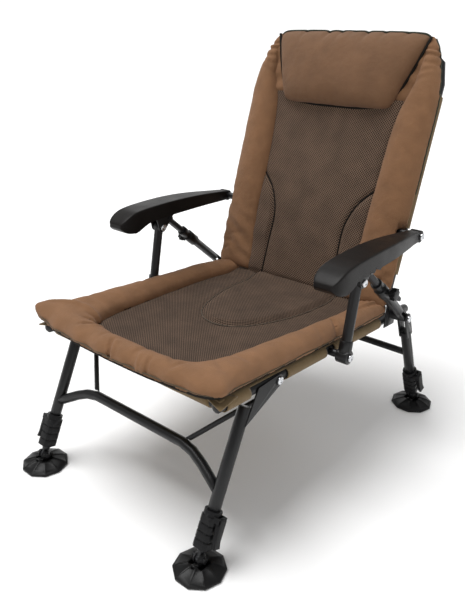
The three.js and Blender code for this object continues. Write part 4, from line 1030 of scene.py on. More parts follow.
@dataclass
class Armrest:
    """The moulded armrest shell: a hooking nose, a soft ridge, notched rim and rear boss.

    Args:
        pivot: Where the post's upper bolt is, in metres.
        rear: Where the rear bolt is, in metres.
        material: Its moulded plastic.
    """

    pivot: Vector
    rear: Vector
    material: bpy.types.Material
    wall: float = 3.0 * MM
    boss: float = 14 * MM
    boss_in: float = 274 * MM
    boss_out: float = 299 * MM

    SECTIONS = (
        (-138, 271, 312, 27, 38), (-129, 265, 318, 18, 45.5), (-116, 263, 321, 11.5, 53.5),
        (-100, 262.5, 322, 9.5, 59.5), (-86, 262.5, 322, 12.5, 61.8), (-68, 262.5, 322, 21, 63.2),
        (-50, 262.5, 322, 27, 64.2), (-10, 262.5, 322, 29, 65), (40, 262.5, 321.5, 29.5, 64.8),
        (90, 264, 319.5, 28.5, 62.5), (140, 267, 314, 27, 58.5), (185, 270.5, 307, 25, 53.5),
        (220, 273, 301, 22.5, 49.5), (252, 274, 299, 20, 46.5),
    )
    TEETH = (-64, -41, -18, 5)
    TOOTH_STEP = 5.75 * MM
    TOOTH_DEPTH = 2.2 * MM
    BLOCK_X = (262, 322)
    BLOCK_Z = (20, 60)
    MID_X = 292
    MID_Z = 40

    def shell(self) -> Thing:
        """Returns the left shell: a block cut into sections, shaped, opened below and walled."""
        first, last = self.SECTIONS[0], self.SECTIONS[-1]
        low, high = first[0] * MM + self.pivot.y, last[0] * MM + self.pivot.y
        middle = self.pivot.z + self.MID_Z * MM
        Bench.clear()
        bpy.ops.mesh.primitive_cube_add(
            size=1, location=(self.MID_X * MM, (low + high) / 2, middle),
            scale=(60 * MM, high - low, 40 * MM),
        )
        thing = bpy.context.active_object
        thing.name = "armrest_shell"
        bpy.ops.object.transform_apply(location=True, rotation=True, scale=True)
        bpy.ops.object.mode_set(mode="EDIT")
        for section in self.SECTIONS[1:-1]:
            bpy.ops.mesh.select_all(action="SELECT")
            bpy.ops.mesh.bisect(plane_co=(0, section[0] * MM + self.pivot.y, 0), plane_no=(0, 1, 0))
        for across in (0.11, 0.89):
            bpy.ops.mesh.select_all(action="SELECT")
            width = mix(*self.BLOCK_X, across) * MM
            bpy.ops.mesh.bisect(plane_co=(width, 0, 0), plane_no=(1, 0, 0))
        for up in (0.3, 0.82):
            bpy.ops.mesh.select_all(action="SELECT")
            height = self.pivot.z + mix(*self.BLOCK_Z, up) * MM
            bpy.ops.mesh.bisect(plane_co=(0, 0, height), plane_no=(0, 0, 1))
        for at, x_in, x_out, z_low, z_high in self.SECTIONS:
            y = at * MM + self.pivot.y
            Bench.pick(thing, "VERT", lambda place, normal: abs(place.y - y) < 0.5 * MM)
            bpy.ops.transform.resize(
                value=((x_out - x_in) / 60, 1, (z_high - z_low) / 40),
                center_override=(self.MID_X * MM, y, middle),
            )
            bpy.ops.transform.translate(
                value=(((x_in + x_out) / 2 - self.MID_X) * MM, 0,
                       ((z_low + z_high) / 2 - self.MID_Z) * MM)
            )
        Bench.pick(thing, "FACE", lambda place, normal: normal.z < -0.6
                   and -100 * MM < place.y - self.pivot.y < 225 * MM)
        bpy.ops.mesh.delete(type="FACE")
        bpy.ops.object.mode_set(mode="OBJECT")
        apply(thing, "round", "SUBSURF", levels=3)
        self._teeth(thing)
        apply(thing, "wall", "SOLIDIFY", thickness=self.wall, offset=-1)
        return thing

    def _teeth(self, thing: Thing) -> None:
        """Presses the shallow saw teeth into the outer rim."""
        bpy.ops.object.mode_set(mode="EDIT")
        for tooth in self.TEETH:
            start = tooth * MM + self.pivot.y
            for step in range(4):
                low, high = (start + k * self.TOOTH_STEP for k in (step, step + 1))
                Bench.pick(thing, "VERT", lambda place, normal: low <= place.y < high
                           and place.x > 318 * MM and place.z < self.pivot.z + 32 * MM)
                bpy.ops.transform.translate(value=(0, 0, (1.2 - step) * self.TOOTH_DEPTH))
        bpy.ops.object.mode_set(mode="OBJECT")

    def boss_piece(self) -> Thing:
        """Returns the round boss that the rear bolt passes through."""
        Bench.clear()
        wide = self.boss_out - self.boss_in
        bpy.ops.mesh.primitive_cylinder_add(
            vertices=32, radius=self.boss, depth=wide, rotation=(0, math.radians(90), 0),
            location=((self.boss_in + self.boss_out) / 2, self.rear.y, self.rear.z),
        )
        thing = bpy.context.active_object
        bpy.ops.object.transform_apply(location=True, rotation=True, scale=True)
        bpy.ops.object.mode_set(mode="EDIT")
        Bench.pick(thing, "FACE", lambda place, normal: abs(normal.x) > 0.9)
        bpy.ops.mesh.inset(thickness=2.5 * MM, use_individual=True)
        bpy.ops.transform.resize(value=(0.9, 1, 1))
        bpy.ops.object.mode_set(mode="OBJECT")
        Bench.bevel(thing, 0.9 * MM)
        return thing

    def build(self) -> None:
        """Builds both armrests and attaches them."""
        shell = self.shell()
        boss = self.boss_piece()
        Bench.clear()
        boss.select_set(True)
        shell.select_set(True)
        bpy.context.view_layer.objects.active = shell
        bpy.ops.object.join()
        Bench.place()
        dress(shell, self.material)
        for side in Side:
            made = Bench.copy(shell, f"armrest_moulding_{side.word}", Vector((0, 0, 0)),
                              side is Side.RIGHT)
            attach(made, f"armrest_{side.word}")
            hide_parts(f"armrest_{side.word}")
            LOG.info("armrest %s: %d faces", side.word, len(made.data.polygons))
        bpy.data.objects.remove(shell)


@dataclass
class SeatAssembly:
    """The seat: U-shaped brown border with its hem, dished mesh panel with its lobe, and sling."""

    layout: Layout
    materials: Materials
    rear: float = 574 * MM
    crest: float = 53 * MM
    outer_low: float = 27 * MM
    base: float = 14.6 * MM
    lobe_tip: float = 246 * MM
    lobe_rise: float = 8.5 * MM
    sag: float = 15 * MM
    wrap: float = 13.4 * MM

    BORDER = (
        (0.0, 256, 580, 186, 576), (1.0, 258, 450, 196, 450), (2.0, 257, 300, 188, 300),
        (3.0, 256, 170, 176, 170), (3.7, 254, 80, 165, 92), (4.3, 255, 20, 151, 52),
        (4.75, 255, -16, 136, 36), (5.1, 233, -34, 120, 27), (5.5, 190, -42, 98, 21),
        (6.2, 104, -50, 56, 16), (7.2, 0, -53, 0, 14),
    )

    FOLDS = (
        Crease((-112, 50), (-152, 10), 5, 5.0), Crease((-126, 56), (-168, 32), 4, 2.6),
        Crease((-104, 34), (-118, -24), 5, 4.0), Crease((-92, 30), (-96, -20), 6, -1.8),
        Crease((-262, 4), (-190, 44), 8, -3.4), Crease((-190, 44), (-140, 54), 7, -3.0),
        Crease((-17, -24), (2, -58), 4, 3.6), Crease((-50, 8), (-44, -40), 7, 1.6),
        Crease((-4, -26), (14, -56), 5, -2.2), Crease((52, 8), (56, -40), 6, 2.4),
        Crease((92, -28), (106, -58), 4, 3.2), Crease((70, -30), (80, -58), 5, -2.2),
        Crease((148, 8), (146, -34), 6, 2.4), Crease((104, 26), (140, -26), 6, 1.6),
        Crease((172, 60), (226, 20), 7, 2.2), Crease((178, 96), (240, 84), 8, 1.6),
        Crease((-176, 92), (-238, 84), 8, 1.4), Crease((206, 490), (226, 574), 6, 4.2),
        Crease((226, 470), (240, 572), 5, 3.6), Crease((216, 500), (232, 570), 4, -2.4),
        Crease((196, 520), (212, 574), 5, 3.0), Crease((-250, 520), (-222, 546), 5, 2.8),
        Crease((-256, 540), (-214, 566), 5, 3.8), Crease((-258, 556), (-230, 578), 4, 3.2),
        Crease((-252, 500), (-236, 516), 5, 2.0), Crease((222, 384), (256, 354), 4, 4.6),
        Crease((252, 300), (222, 318), 8, 1.4), Crease((-250, 260), (-222, 246), 9, 1.2),
    )

    def _inner_half(self, s: float) -> float:
        """Returns the mesh panel's half-width at a place along the seat."""
        keys = sorted((row[4] * MM, row[3] * MM) for row in self.BORDER[:-1])
        return spline(keys, s)[0]

    def border(self) -> Thing:
        """Returns the padded brown border on three sides."""
        rail = self.layout.rail
        stations = 150
        rings = []
        for i in range(stations + 1):
            along = -1 + 2 * i / stations
            outer, inner = self._station_at(along)
            front = smooth((60 * MM - inner.y) / (60 * MM))
            rings.append(self._border_ring(outer, inner, front, along))
        points = [[rail.point(p.x, p.y, p.z) for p in ring] for ring in rings]
        return Sewing.loft("seat_border", points)

    def _station_at(self, along: float) -> tuple[Vector, Vector]:
        """Returns the border's outer and inner points at a place from -1 (right rear) to 1.

        Args:
            along: The place; 0 is the middle of the front edge.
        """
        side = -1.0 if along < 0 else 1.0
        ox, os_, ix, is_ = (v * MM for v in spline(self.BORDER, 7.2 * (1 - abs(along))))
        return Vector((side * ox, os_, 0)), Vector((side * ix, is_, 0))

    @staticmethod
    def _corner_lift(along: float) -> float:
        """Returns how far the border's outer edge turns up at a place along it."""
        right = math.exp(-(((along + 0.36) / 0.07) ** 2))
        left = math.exp(-(((along - 0.36) / 0.07) ** 2))
        return (17 * right + 4 * left) * MM

    def _border_ring(self, outer: Vector, inner: Vector, front: float,
                     along: float) -> list[Vector]:
        """Returns one cross-section of the border, in the rail's frame.

        Args:
            outer: The outer edge.
            inner: The inner edge.
            front: How much of the section is front edge, from 0 to 1.
            along: The section's place from -1 (right rear) to 1.
        """
        rear = smooth((abs(along) - 0.9) / 0.1)
        lift = self._corner_lift(along)
        crest = mix(self.crest, 50 * MM, front) - 3 * MM * rear
        h_in = mix(25 * MM, 21 * MM, front) + 8 * MM * rear
        h_out = self.outer_low + 4 * MM + lift
        ring = []
        peak = mix(0.6, 0.52, front)
        steps = 14
        for k in range(steps + 1):
            w = k / steps
            if w <= peak:
                h = h_in + (crest - h_in) * bulge(w / peak) ** 0.9
            else:
                h = h_out + (crest - h_out) * bulge((1 - w) / (1 - peak))
            ring.append((w, h))
        low = mix(self.base, 12 * MM, front)
        edge = self.outer_low + lift
        ring += [(1.0, edge), (0.985, edge - 4 * MM), (0.95, low + 3 * MM + 0.6 * lift)]
        ring += [(0.9, low), (0.7, low), (0.45, low - 0.5 * MM)]
        ring += [(0.2, low - 2 * MM), (0.0, low - 2 * MM)]
        return [
            Vector((mix(inner.x, outer.x, w), mix(inner.y, outer.y, w), h)) for w, h in ring
        ]

    def fill_border(self, thing: Thing) -> None:
        """Swells the border as filled cloth, then adds its folds.

        Args:
            thing: The border.
        """
        rail = self.layout.rail

        def held(place: Vector) -> float:
            x, s, h = rail.local(place)
            if h < 20 * MM:
                return 1.0
            near_inner = abs(x) < self._inner_half(s) + 4 * MM and s > 10 * MM
            return 0.6 if near_inner else 0.0

        Sewing.swell(thing, 7 * MM, held)

        def fold(place: Vector, normal: Vector) -> Vector:
            x, s, h = rail.local(place)
            if h < 22 * MM:
                return Vector((0, 0, 0))
            rise = -1.5 * sum(crease.at(x, s) for crease in self.FOLDS)
            edge = smooth((-18 * MM - s) / (30 * MM))
            rise += 2.2 * MM * edge * math.sin(x * 95 + 2.5 * ripple(place, 6, 7.0))
            rise += 1.6 * MM * ripple(place, 18, 1.0) + 0.8 * MM * ripple(place, 48, 2.0)
            reach = math.hypot(abs(x) - 258 * MM, s + 14 * MM)
            pull = smooth(1 - reach / (56 * MM)) * (23 if x < 0 else 7) * MM
            tug = rail.along * (-0.5 * pull) + rail.out * (0.25 * pull)
            tug.x = math.copysign(0.75 * pull, x)
            return normal * rise + tug

        Sewing.shift(thing, fold)

    def _panel_height(self, x: float, s: float) -> float:
        """Returns the mesh panel's height at a place, without its rise at the lobe."""
        share = min(max(s / self.rear, 0), 1)
        half = self._inner_half(s)
        dish = max(0.0, 1 - (x / half) ** 2) * max(0.0, math.sin(math.pi * share))
        heel = 9 * MM * smooth((s - 520 * MM) / (50 * MM))
        return mix(22 * MM, 27 * MM, share) - 10 * MM * dish + heel

    def _lobe_half_at(self, s: float) -> float:
        """Returns the lobe's half-width at a place along the seat."""
        keys = ((0.246, 0.0), (0.250, 0.022), (0.262, 0.044), (0.285, 0.067), (0.33, 0.090),
                (0.385, 0.108), (0.436, 0.118), (0.5, 0.122), (0.574, 0.125))
        return spline(keys, s)[0] if s > self.lobe_tip else 0.0

    def _lobe_edge(self, x: float, s: float) -> float:
        """Returns about how far inside the lobe's outline a place is, negative outside."""
        if s <= self.lobe_tip:
            return -math.hypot(max(abs(x) - 20 * MM, 0), self.lobe_tip - s)
        half = self._lobe_half_at(s)
        slope = (self._lobe_half_at(s + MM) - self._lobe_half_at(s - MM)) / (2 * MM)
        return (half - abs(x)) / math.sqrt(1 + slope * slope)

    def panel(self) -> Thing:
        """Returns the dished mesh panel with the raised lobe sewn into it."""
        rail = self.layout.rail
        start, end = 4 * MM, self.rear + 10 * MM

        def place(u: float, v: float) -> tuple[float, float]:
            s = mix(start, end, v)
            return (2 * u - 1) * (self._inner_half(s) + 11 * MM), s

        def top(u: float, v: float) -> Vector:
            x, s = place(u, v)
            edge = self._lobe_edge(x, s)
            lift = self.lobe_rise * smooth(edge / (20 * MM))
            groove = 3.2 * MM * math.exp(-((edge / (3.4 * MM)) ** 2))
            h = self._panel_height(x, s) + lift - groove
            wide = abs(x) - self._inner_half(s)
            h -= 3 * MM * math.exp(-((wide / (7 * MM)) ** 2))
            h += 0.5 * MM * ripple(Vector((x, s, 0)), 30, 5.0)
            return rail.point(x, s, h)

        def base(u: float, v: float) -> Vector:
            x, s = place(u, v)
            heel = 9 * MM * smooth((s - 520 * MM) / (50 * MM))
            return rail.point(x, s, self._panel_height(x, s) - 8.5 * MM - heel)

        return Sewing.slab("seat_mesh_panel", 96, 140, top, base)

    def lobe_seam(self) -> Thing:
        """Returns the thin light seam round the lobe."""
        rail = self.layout.rail
        path = []
        for i in range(121):
            t = -1 + 2 * i / 120
            s = self.lobe_tip + (self.rear - 3 * MM - self.lobe_tip) * abs(t) ** 1.7
            x = math.copysign(self._lobe_half_at(s + 0.01 * MM), t) if abs(t) > 1e-9 else 0.0
            path.append(rail.point(x, s, self._panel_height(x, s) - 0.9 * MM))
        return Sewing.tube("seat_lobe_seam", path, 0.9 * MM, sides=6)

    def piping(self, border: Thing) -> Thing:
        """Returns the hem round the border's outer edge.

        Args:
            border: The filled border.
        """
        rail = self.layout.rail
        path = []
        for i in range(141):
            along = -0.985 + 1.97 * i / 140
            outer, inner = self._station_at(along)
            out = (outer - inner).normalized()
            place = outer + out * 0.2 * MM
            wave = 0.8 * MM * ripple(Vector((place.x, place.y, 0)), 16, 2.0)
            wave += self._corner_lift(along)
            path.append(rail.point(place.x, place.y, self.outer_low - 1.0 * MM + wave))
        return Sewing.tube("seat_piping", Sewing.snap(path, border, 0.3 * MM), 1.4 * MM)

    def _sling_row(self, s: float) -> list[tuple[float, float]]:
        """Returns the sling's profile across the chair at a place along it, as (x, h)."""
        rail_x, wrap = self.layout.rail_x, self.wrap
        points = []
        for k in range(17):
            turn = math.radians(-150 + 240 * k / 16)
            points.append((rail_x + wrap * math.cos(turn), wrap * math.sin(turn)))
        share = math.sin(math.pi * min(max((s - 13 * MM) / (543 * MM), 0), 1))
        for k in range(1, 16):
            x = rail_x * (1 - k / 16)
            across = max(0.0, 1 - (x / (rail_x - 11 * MM)) ** 2)
            points.append((x, 12.6 * MM - self.sag * across * share))
        points.append((0.0, 12.6 * MM - self.sag * share))
        return points + [(-x, h) for x, h in reversed(points[:-1])]

    def sling(self) -> Thing:
        """Returns the sling: cloth hung between the rails, its hems wrapped round them."""
        rows = [-self.wrap + 570 * MM * j / 114 for j in range(115)]

        def cut(at: float, cell: int, count: int) -> bool:
            notch = 66 * MM < at < 180 * MM or 321 * MM < at < 354 * MM or at < 0
            return notch and (cell < 14 or cell >= count - 15)

        return Sewing.cloth_grid("seat_sling_cloth", self.layout.rail, rows, self._sling_row, cut)

    def corner_flap(self, side: Side) -> Thing:
        """Returns the sling's pointed corner, folded over the rail's front cap.

        Args:
            side: Which side.
        """
        rail = self.layout.rail
        tip, rear, inside = Vector((262, -26, 5)), Vector((257, 26, 12)), Vector((214, -15, 13))

        def surface(u: float, v: float, rise: float) -> Vector:
            spot = tip.lerp(rear.lerp(inside, u), max(v, 0.04))
            lift = 3 * math.sin(math.pi * u) * v + rise
            return rail.point(side.value * spot.x * MM, spot.y * MM, (spot.z + lift) * MM)

        return Sewing.slab(f"seat_corner_flap_{side.word}", 12, 12, lambda u, v: surface(u, v, 1.1),
                           lambda u, v: surface(u, v, -1.1))

    def front_hem(self) -> Thing:
        """Returns the front hem: the sling's cloth rolled round the front bar."""
        return Sewing.sleeve("seat_front_hem", self.layout.rail, 222 * MM, 0, 13.2 * MM, 60, 1.0)

    def build(self) -> None:
        """Builds, dresses and attaches the seat's soft pieces."""
        made = self.materials
        skin = made.cloth("seat_peach_skin", Materials.SKIN)
        rail = self.layout.rail
        mesh = made.mesh_cloth("seat_spacer_mesh", Materials.MESH_DARK, rail.along, pitch=0.0052)
        olive = made.cloth("olive_canvas", Materials.OLIVE, threads=300)
        border = self.border()
        self.fill_border(border)
        dress(border, skin)
        border.data.materials.append(made.cloth("underside_cloth", Materials.DARK_CLOTH))
        for face in border.data.polygons:
            low = rail.local(face.center)[2] < self.outer_low
            face.material_index = int(low and face.normal.dot(rail.out) < -0.25)
        panel = dress(self.panel(), mesh)
        seam = self.lobe_seam()
        dress(seam, made.cloth("seam_thread", Materials.THREAD))
        piping = self.piping(border)
        dress(piping, made.cloth("border_hem", Materials.HEM))
        sling = dress(self.sling(), olive)
        hem = self.front_hem()
        trims = [hem] + [self.corner_flap(side) for side in Side]
        for trim in trims:
            dress(trim, olive)
        for piece in (border, panel, seam, piping, sling, *trims):
            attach(piece, "seat_frame")
            LOG.info("seat piece %s: %d faces", piece.name, len(piece.data.polygons))
        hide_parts("seat_cushion")
        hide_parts("seat_sling")


@dataclass
class BackAssembly:
    """The backrest: bolsters with edging, mesh centre with wings, pillow, yoke and cover."""

    layout: Layout
    materials: Materials
    base: float = 14.4 * MM
    wrap: float = 13.5 * MM
    bend_from: float = -14 * MM
    bend_to: float = 64 * MM
    bend_out: float = 20 * MM
    wing_top: float = 250 * MM

    BOLSTER = (
        (-23, 158, 252, 27), (-10, 158, 259, 32), (30, 158, 261, 33), (60, 160, 262, 35),
        (100, 162, 262, 42), (140, 164, 262, 46), (250, 168, 262, 48), (350, 172, 262, 49),
        (410, 178, 262, 50), (450, 187, 261, 50), (490, 200, 256, 48), (530, 208, 247, 43),
        (560, 210, 237, 36), (585, 203, 226, 29), (602, 190, 214, 24),
    )
    WING = ((-27, 105), (70, 104), (141, 104), (192, 121), (222, 143), (250, 172))
    PILLOW = (
        (427, 122, 32), (430, 144, 47), (438, 153, 58), (455, 160, 65), (490, 172, 69),
        (530, 186, 68), (565, 198, 61), (588, 205, 50), (600, 207, 38), (606, 204, 26),
    )

    SHOULDER_FOLDS = (
        Crease((196, 574), (236, 568), 4, 3.6), Crease((200, 558), (246, 556), 4, 3.2),
        Crease((204, 566), (240, 562), 3.5, -2.4), Crease((206, 538), (254, 536), 5, 3.0),
        Crease((204, 516), (246, 528), 6, 2.0), Crease((196, 492), (236, 512), 7, 1.6),
        Crease((180, 446), (200, 500), 6, 2.0), Crease((230, 24), (258, 10), 5, 2.6),
        Crease((222, 44), (260, 34), 6, 2.2), Crease((190, 70), (240, 56), 7, 1.4),
    )
    TOP_GATHERS = ((-60, 4.2), (-24, 3.0), (48, 4.2), (94, 3.2), (-128, 2.4), (150, 2.4), (12, 1.6))

    def _edge(self, t: float) -> list[float]:
        """Returns the bolster's inner and outer half-width and crest at a height, in metres."""
        return [v * MM for v in spline(self.BOLSTER, t / MM)]

    def bolster(self, side: Side) -> Thing:
        """Returns one side bolster.

        Args:
            side: Which side.
        """
        back = self.layout.back
        rings = []
        for i in range(91):
            t = mix(-23 * MM, 602 * MM, i / 90)
            inner, outer, crest = self._edge(t)
            inner -= 9 * MM
            front = []
            steps = 14
            low_in = max(self.base + 1 * MM, min(crest - 8 * MM, 24 * MM))
            low_out = max(self.base + 1 * MM, min(crest - 6 * MM, 21 * MM))
            for k in range(steps + 1):
                w = k / steps
                if w < 0.42:
                    n = low_in + (crest - low_in) * bulge(w / 0.42)
                else:
                    n = low_out + (crest - low_out) * bulge((1 - w) / 0.58)
                front.append((mix(inner, outer, w), n))
            under = [(mix(inner, outer, w), self.base) for w in (0.8, 0.5, 0.2)]
            ring = front + [(outer - 1 * MM, self.base + 0.5 * MM), *under, (inner, self.base)]
            rings.append([back.point(side.value * x, t, n) for x, n in ring])
        return Sewing.loft(f"back_bolster_{side.word}", rings)

    def bolsters(self) -> dict[Side, Thing]:
        """Returns both side bolsters, swelled as filled cloth and mirrored, then wrinkled."""

        def held(place: Vector) -> float:
            _, t, n = self.layout.back.local(place)
            return 1.0 if n < 17.5 * MM or t < 70 * MM else 0.0

        left = self.bolster(Side.LEFT)
        Sewing.swell(left, 5 * MM, held)
        made = {Side.LEFT: left, Side.RIGHT: Sewing.mirrored(left, "back_bolster_right")}
        for side, thing in made.items():
            self.wrinkle_bolster(thing, side)
        return made

    def wrinkle_bolster(self, thing: Thing, side: Side) -> None:
        """Adds a bolster's wrinkles and the dent at the armrest's stub.

        Args:
            thing: The bolster.
            side: Which side it is on.
        """

        def fold(place: Vector, normal: Vector) -> Vector:
            x, t, n = self.layout.back.local(place)
            if n < 18 * MM:
                return Vector((0, 0, 0))
            rise = 1.2 * MM * ripple(place, 18, 11.0) + 0.6 * MM * ripple(place, 50, 12.0)
            rise -= sum(crease.at(side.value * x, t) for crease in self.SHOULDER_FOLDS)
            toe = smooth((170 * MM - t) / (90 * MM)) * smooth((t + 5 * MM) / (30 * MM))
            rise += 1.3 * MM * toe * math.sin(t * 150 - abs(x) * 90 + 2.4 * ripple(place, 11, 8.0))
            reach = abs(t - 160 * MM)
            dent = smooth(1 - reach / (26 * MM)) * smooth((abs(x) - 240 * MM) / (8 * MM))
            inward = 16 * MM * dent if n < 38 * MM else 0.0
            return normal * rise + Vector((-side.value * inward, 0, 0))

        Sewing.shift(thing, fold)

    def _wing_half(self, t: float) -> float:
        """Returns the half-width where the centre panel meets the wings."""
        return spline(self.WING, t / MM)[0] * MM

    def _panel_face(self, x: float, t: float) -> float:
        """Returns how far the mesh centre stands out at a place."""
        inner, _, crest = self._edge(t)
        cap = max(self.base + 1.2 * MM, crest - 4 * MM)
        wide = min(abs(x) / inner, 1)
        lumbar = 3 * MM * math.exp(-(((t - 190 * MM) / (90 * MM)) ** 2))
        n = 31 * MM + lumbar * (1 - wide ** 2) - 2 * MM * wide ** 2
        if t < self.wing_top:
            edge = self._wing_half(t) - abs(x)
            groove = 4.5 * MM * math.exp(-((edge / (6 * MM)) ** 2))
            lift = 4 * MM * smooth(-edge / (14 * MM)) * smooth((self.wing_top - t) / (60 * MM))
            n += lift - groove
        return min(n, cap)

    def panel(self) -> Thing:
        """Returns the mesh centre with its two wings, as one sewn pad."""
        back = self.layout.back

        def place(u: float, v: float) -> tuple[float, float]:
            t = mix(-27 * MM, 452 * MM, v)
            return (2 * u - 1) * (self._edge(t)[0] + 2 * MM), t

        def top(u: float, v: float) -> Vector:
            x, t = place(u, v)
            n = self._panel_face(x, t) + 0.6 * MM * ripple(Vector((x, t, 0)), 24, 9.0)
            wide = abs(x) - self._edge(t)[0]
            n -= 5 * MM * math.exp(-((wide / (8 * MM)) ** 2))
            return back.point(x, t, max(n, self.base + 1 * MM))

        def base(u: float, v: float) -> Vector:
            x, t = place(u, v)
            return back.point(x, t, self.base)

        return Sewing.slab("back_mesh_panel", 100, 150, top, base)

    def wing_seam(self, side: Side) -> Thing:
        """Returns the dark cord in the seam between the centre and a wing.

        Args:
            side: Which side.
        """
        back = self.layout.back
        path = []
        for i in range(61):
            t = mix(-25 * MM, 249 * MM, i / 60)
            x = self._wing_half(t)
            path.append(back.point(side.value * x, t, self._panel_face(x, t) + 0.9 * MM))
        return Sewing.tube(f"back_wing_seam_{side.word}", path, 2.0 * MM, sides=6)

    def pillow(self) -> Thing:
        """Returns the crowned head pillow."""
        back = self.layout.back

        def surface(u: float, v: float, crowned: bool) -> Vector:
            t = mix(427 * MM, 606 * MM, v)
            half, crown = (value * MM for value in spline(self.PILLOW, t / MM))
            x = (2 * u - 1) * half
            across = bulge(min(u, 1 - u) * 2 * 1.5) ** 0.75
            low = 22 * MM if v < 0.9 else mix(22 * MM, 8 * MM, (v - 0.9) / 0.1)
            n = mix(low + 4 * MM, crown, across) if crowned else low
            return back.point(x, t, n)

        return Sewing.slab("back_head_pillow", 60, 36, lambda u, v: surface(u, v, True),
                           lambda u, v: surface(u, v, False))

    def yoke(self) -> Thing:
        """Returns the low brown panel behind the pillow, gathered beside the bolsters."""
        back = self.layout.back

        def place(u: float, v: float) -> tuple[float, float]:
            t = mix(434 * MM, 601 * MM, v)
            half = mix(196 * MM, 214 * MM, smooth(v / 0.6)) - 14 * MM * smooth((v - 0.8) / 0.2)
            return (2 * u - 1) * half, t

        def top(u: float, v: float) -> Vector:
            x, t = place(u, v)
            uneven = 3 * ripple(Vector((x, t, 0)), 8, 3.0)
            pull = 1.8 * MM * math.sin(t * 130 + 60 * abs(x) + uneven)
            low = smooth(v / 0.16) * smooth((1 - v) / 0.15)
            return back.point(x, t, mix(20 * MM, 29 * MM, low) + pull * low)

        def base(u: float, v: float) -> Vector:
            x, t = place(u, v)
            return back.point(x, t, self.base + 0.4 * MM)

        return Sewing.slab("back_yoke", 110, 60, top, base)

    def fill_pillow(self, thing: Thing) -> None:
        """Swells the pillow and gathers the cloth along its top.

        Args:
            thing: The pillow.
        """

        def held(place: Vector) -> float:
            _, t, n = self.layout.back.local(place)
            return 1.0 if n < 27 * MM or t > 600 * MM else 0.0

        Sewing.swell(thing, 6 * MM, held)

        def fold(place: Vector, normal: Vector) -> Vector:
            x, t, n = self.layout.back.local(place)
            if n < 26 * MM:
                return Vector((0, 0, 0))
            top = smooth((t - 560 * MM) / (40 * MM))
            rise = 0.0
            for at, depth in self.TOP_GATHERS:
                rise -= depth * MM * math.exp(-(((x / MM - at) / 7) ** 2)) * top
            rise += 1.1 * MM * ripple(place, 16, 21.0) + 0.5 * MM * ripple(place, 50, 22.0)
            return normal * rise

        Sewing.shift(thing, fold)

    def pillow_piping(self, pillow: Thing) -> Thing:
        """Returns the green piping along the top of the pillow.

        Args:
            pillow: The filled pillow.
        """
        back = self.layout.back
        path = []
        for i in range(241):
            share = -1 + 2 * i / 240
            x = share * 212 * MM
            round_off = bulge((1 - abs(share)) * 6)
            dip = sum(depth * math.exp(-(((x / MM - at) / 8) ** 2))
                      for at, depth in self.TOP_GATHERS)
            t = 596 * MM + 11 * MM * round_off - dip * MM
            n = 27 * MM - 2 * MM * (1 - round_off)
            path.append(back.point(x, t, n + 0.6 * MM * ripple(Vector((x, 0, 0)), 30, 2.0)))
        return Sewing.tube("back_pillow_piping", Sewing.snap(path, pillow, 1.2 * MM), 2.3 * MM)

    def pillow_seam(self) -> Thing:
        """Returns a near-black tube in the recessed seam round the pillow's sides and lower edge:
        painted shadow for the shade in that gap.
        """
        back = self.layout.back
        path = []
        for i in range(121):
            turn = math.pi * i / 120
            share = -math.copysign(abs(math.cos(turn)) ** 0.35, math.cos(turn))
            t = mix(596 * MM, 425 * MM, abs(math.sin(turn)) ** 0.35)
            half, _ = (value * MM for value in spline(self.PILLOW, t / MM))
            path.append(back.point(share * (half + 2 * MM), t, 29 * MM))
        return Sewing.tube("back_pillow_seam", Sewing.even(path), 3.4 * MM)

    def edging(self, side: Side, bolster: Thing) -> Thing:
        """Returns the dark green edging down a bolster's outer side.

        Args:
            side: Which side.
            bolster: The filled bolster.
        """
        back = self.layout.back
        path = []
        for i in range(121):
            t = mix(250 * MM, 598 * MM, i / 120)
            outer = self._edge(t)[1]
            wave = 0.9 * MM * ripple(Vector((0, t, side.value)), 22, 3.0)
            path.append(back.point(side.value * (outer + 0.5 * MM + wave), t, 15.5 * MM))
        laid = Sewing.snap(path, bolster, 0.8 * MM)
        return Sewing.tube(f"back_edging_{side.word}", laid, 1.9 * MM)

    def _cover_row(self, t: float) -> list[tuple[float, float]]:
        """Returns the cover's profile across the back at a height, as (x, n)."""
        bend = smooth((t - 470 * MM) / (110 * MM))
        tube_x = mix(self.layout.rail_x, 205 * MM, bend)
        start = mix(60, -130, 1 - smooth((t - 468 * MM) / (12 * MM)))
        points = []
        for k in range(17):
            turn = math.radians(start + (90 - start) * k / 16)
            points.append((tube_x + self.wrap * math.cos(turn), self.wrap * math.sin(turn)))
        for k in range(1, 17):
            points.append((tube_x * (1 - k / 16), self.wrap - 0.9 * MM))
        return points + [(-x, n) for x, n in reversed(points[:-1])]

    def cover(self) -> Thing:
        """Returns the cloth cover behind the cushion, wrapped round the back tubes."""
        rows = [mix(62 * MM, 592 * MM, j / 106) for j in range(107)]

        def cut(at: float, cell: int, count: int) -> bool:
            return 148 * MM < at < 174 * MM and (cell < 17 or cell >= count - 18)

        return Sewing.cloth_grid("back_cover_cloth", self.layout.back, rows, self._cover_row, cut)

    def top_hem(self) -> Thing:
        """Returns the cover's sleeve round the top bar."""
        back = self.layout.back
        return Sewing.sleeve("back_top_hem", back, 168 * MM, 580 * MM, 13.6 * MM, 40, 4.0)

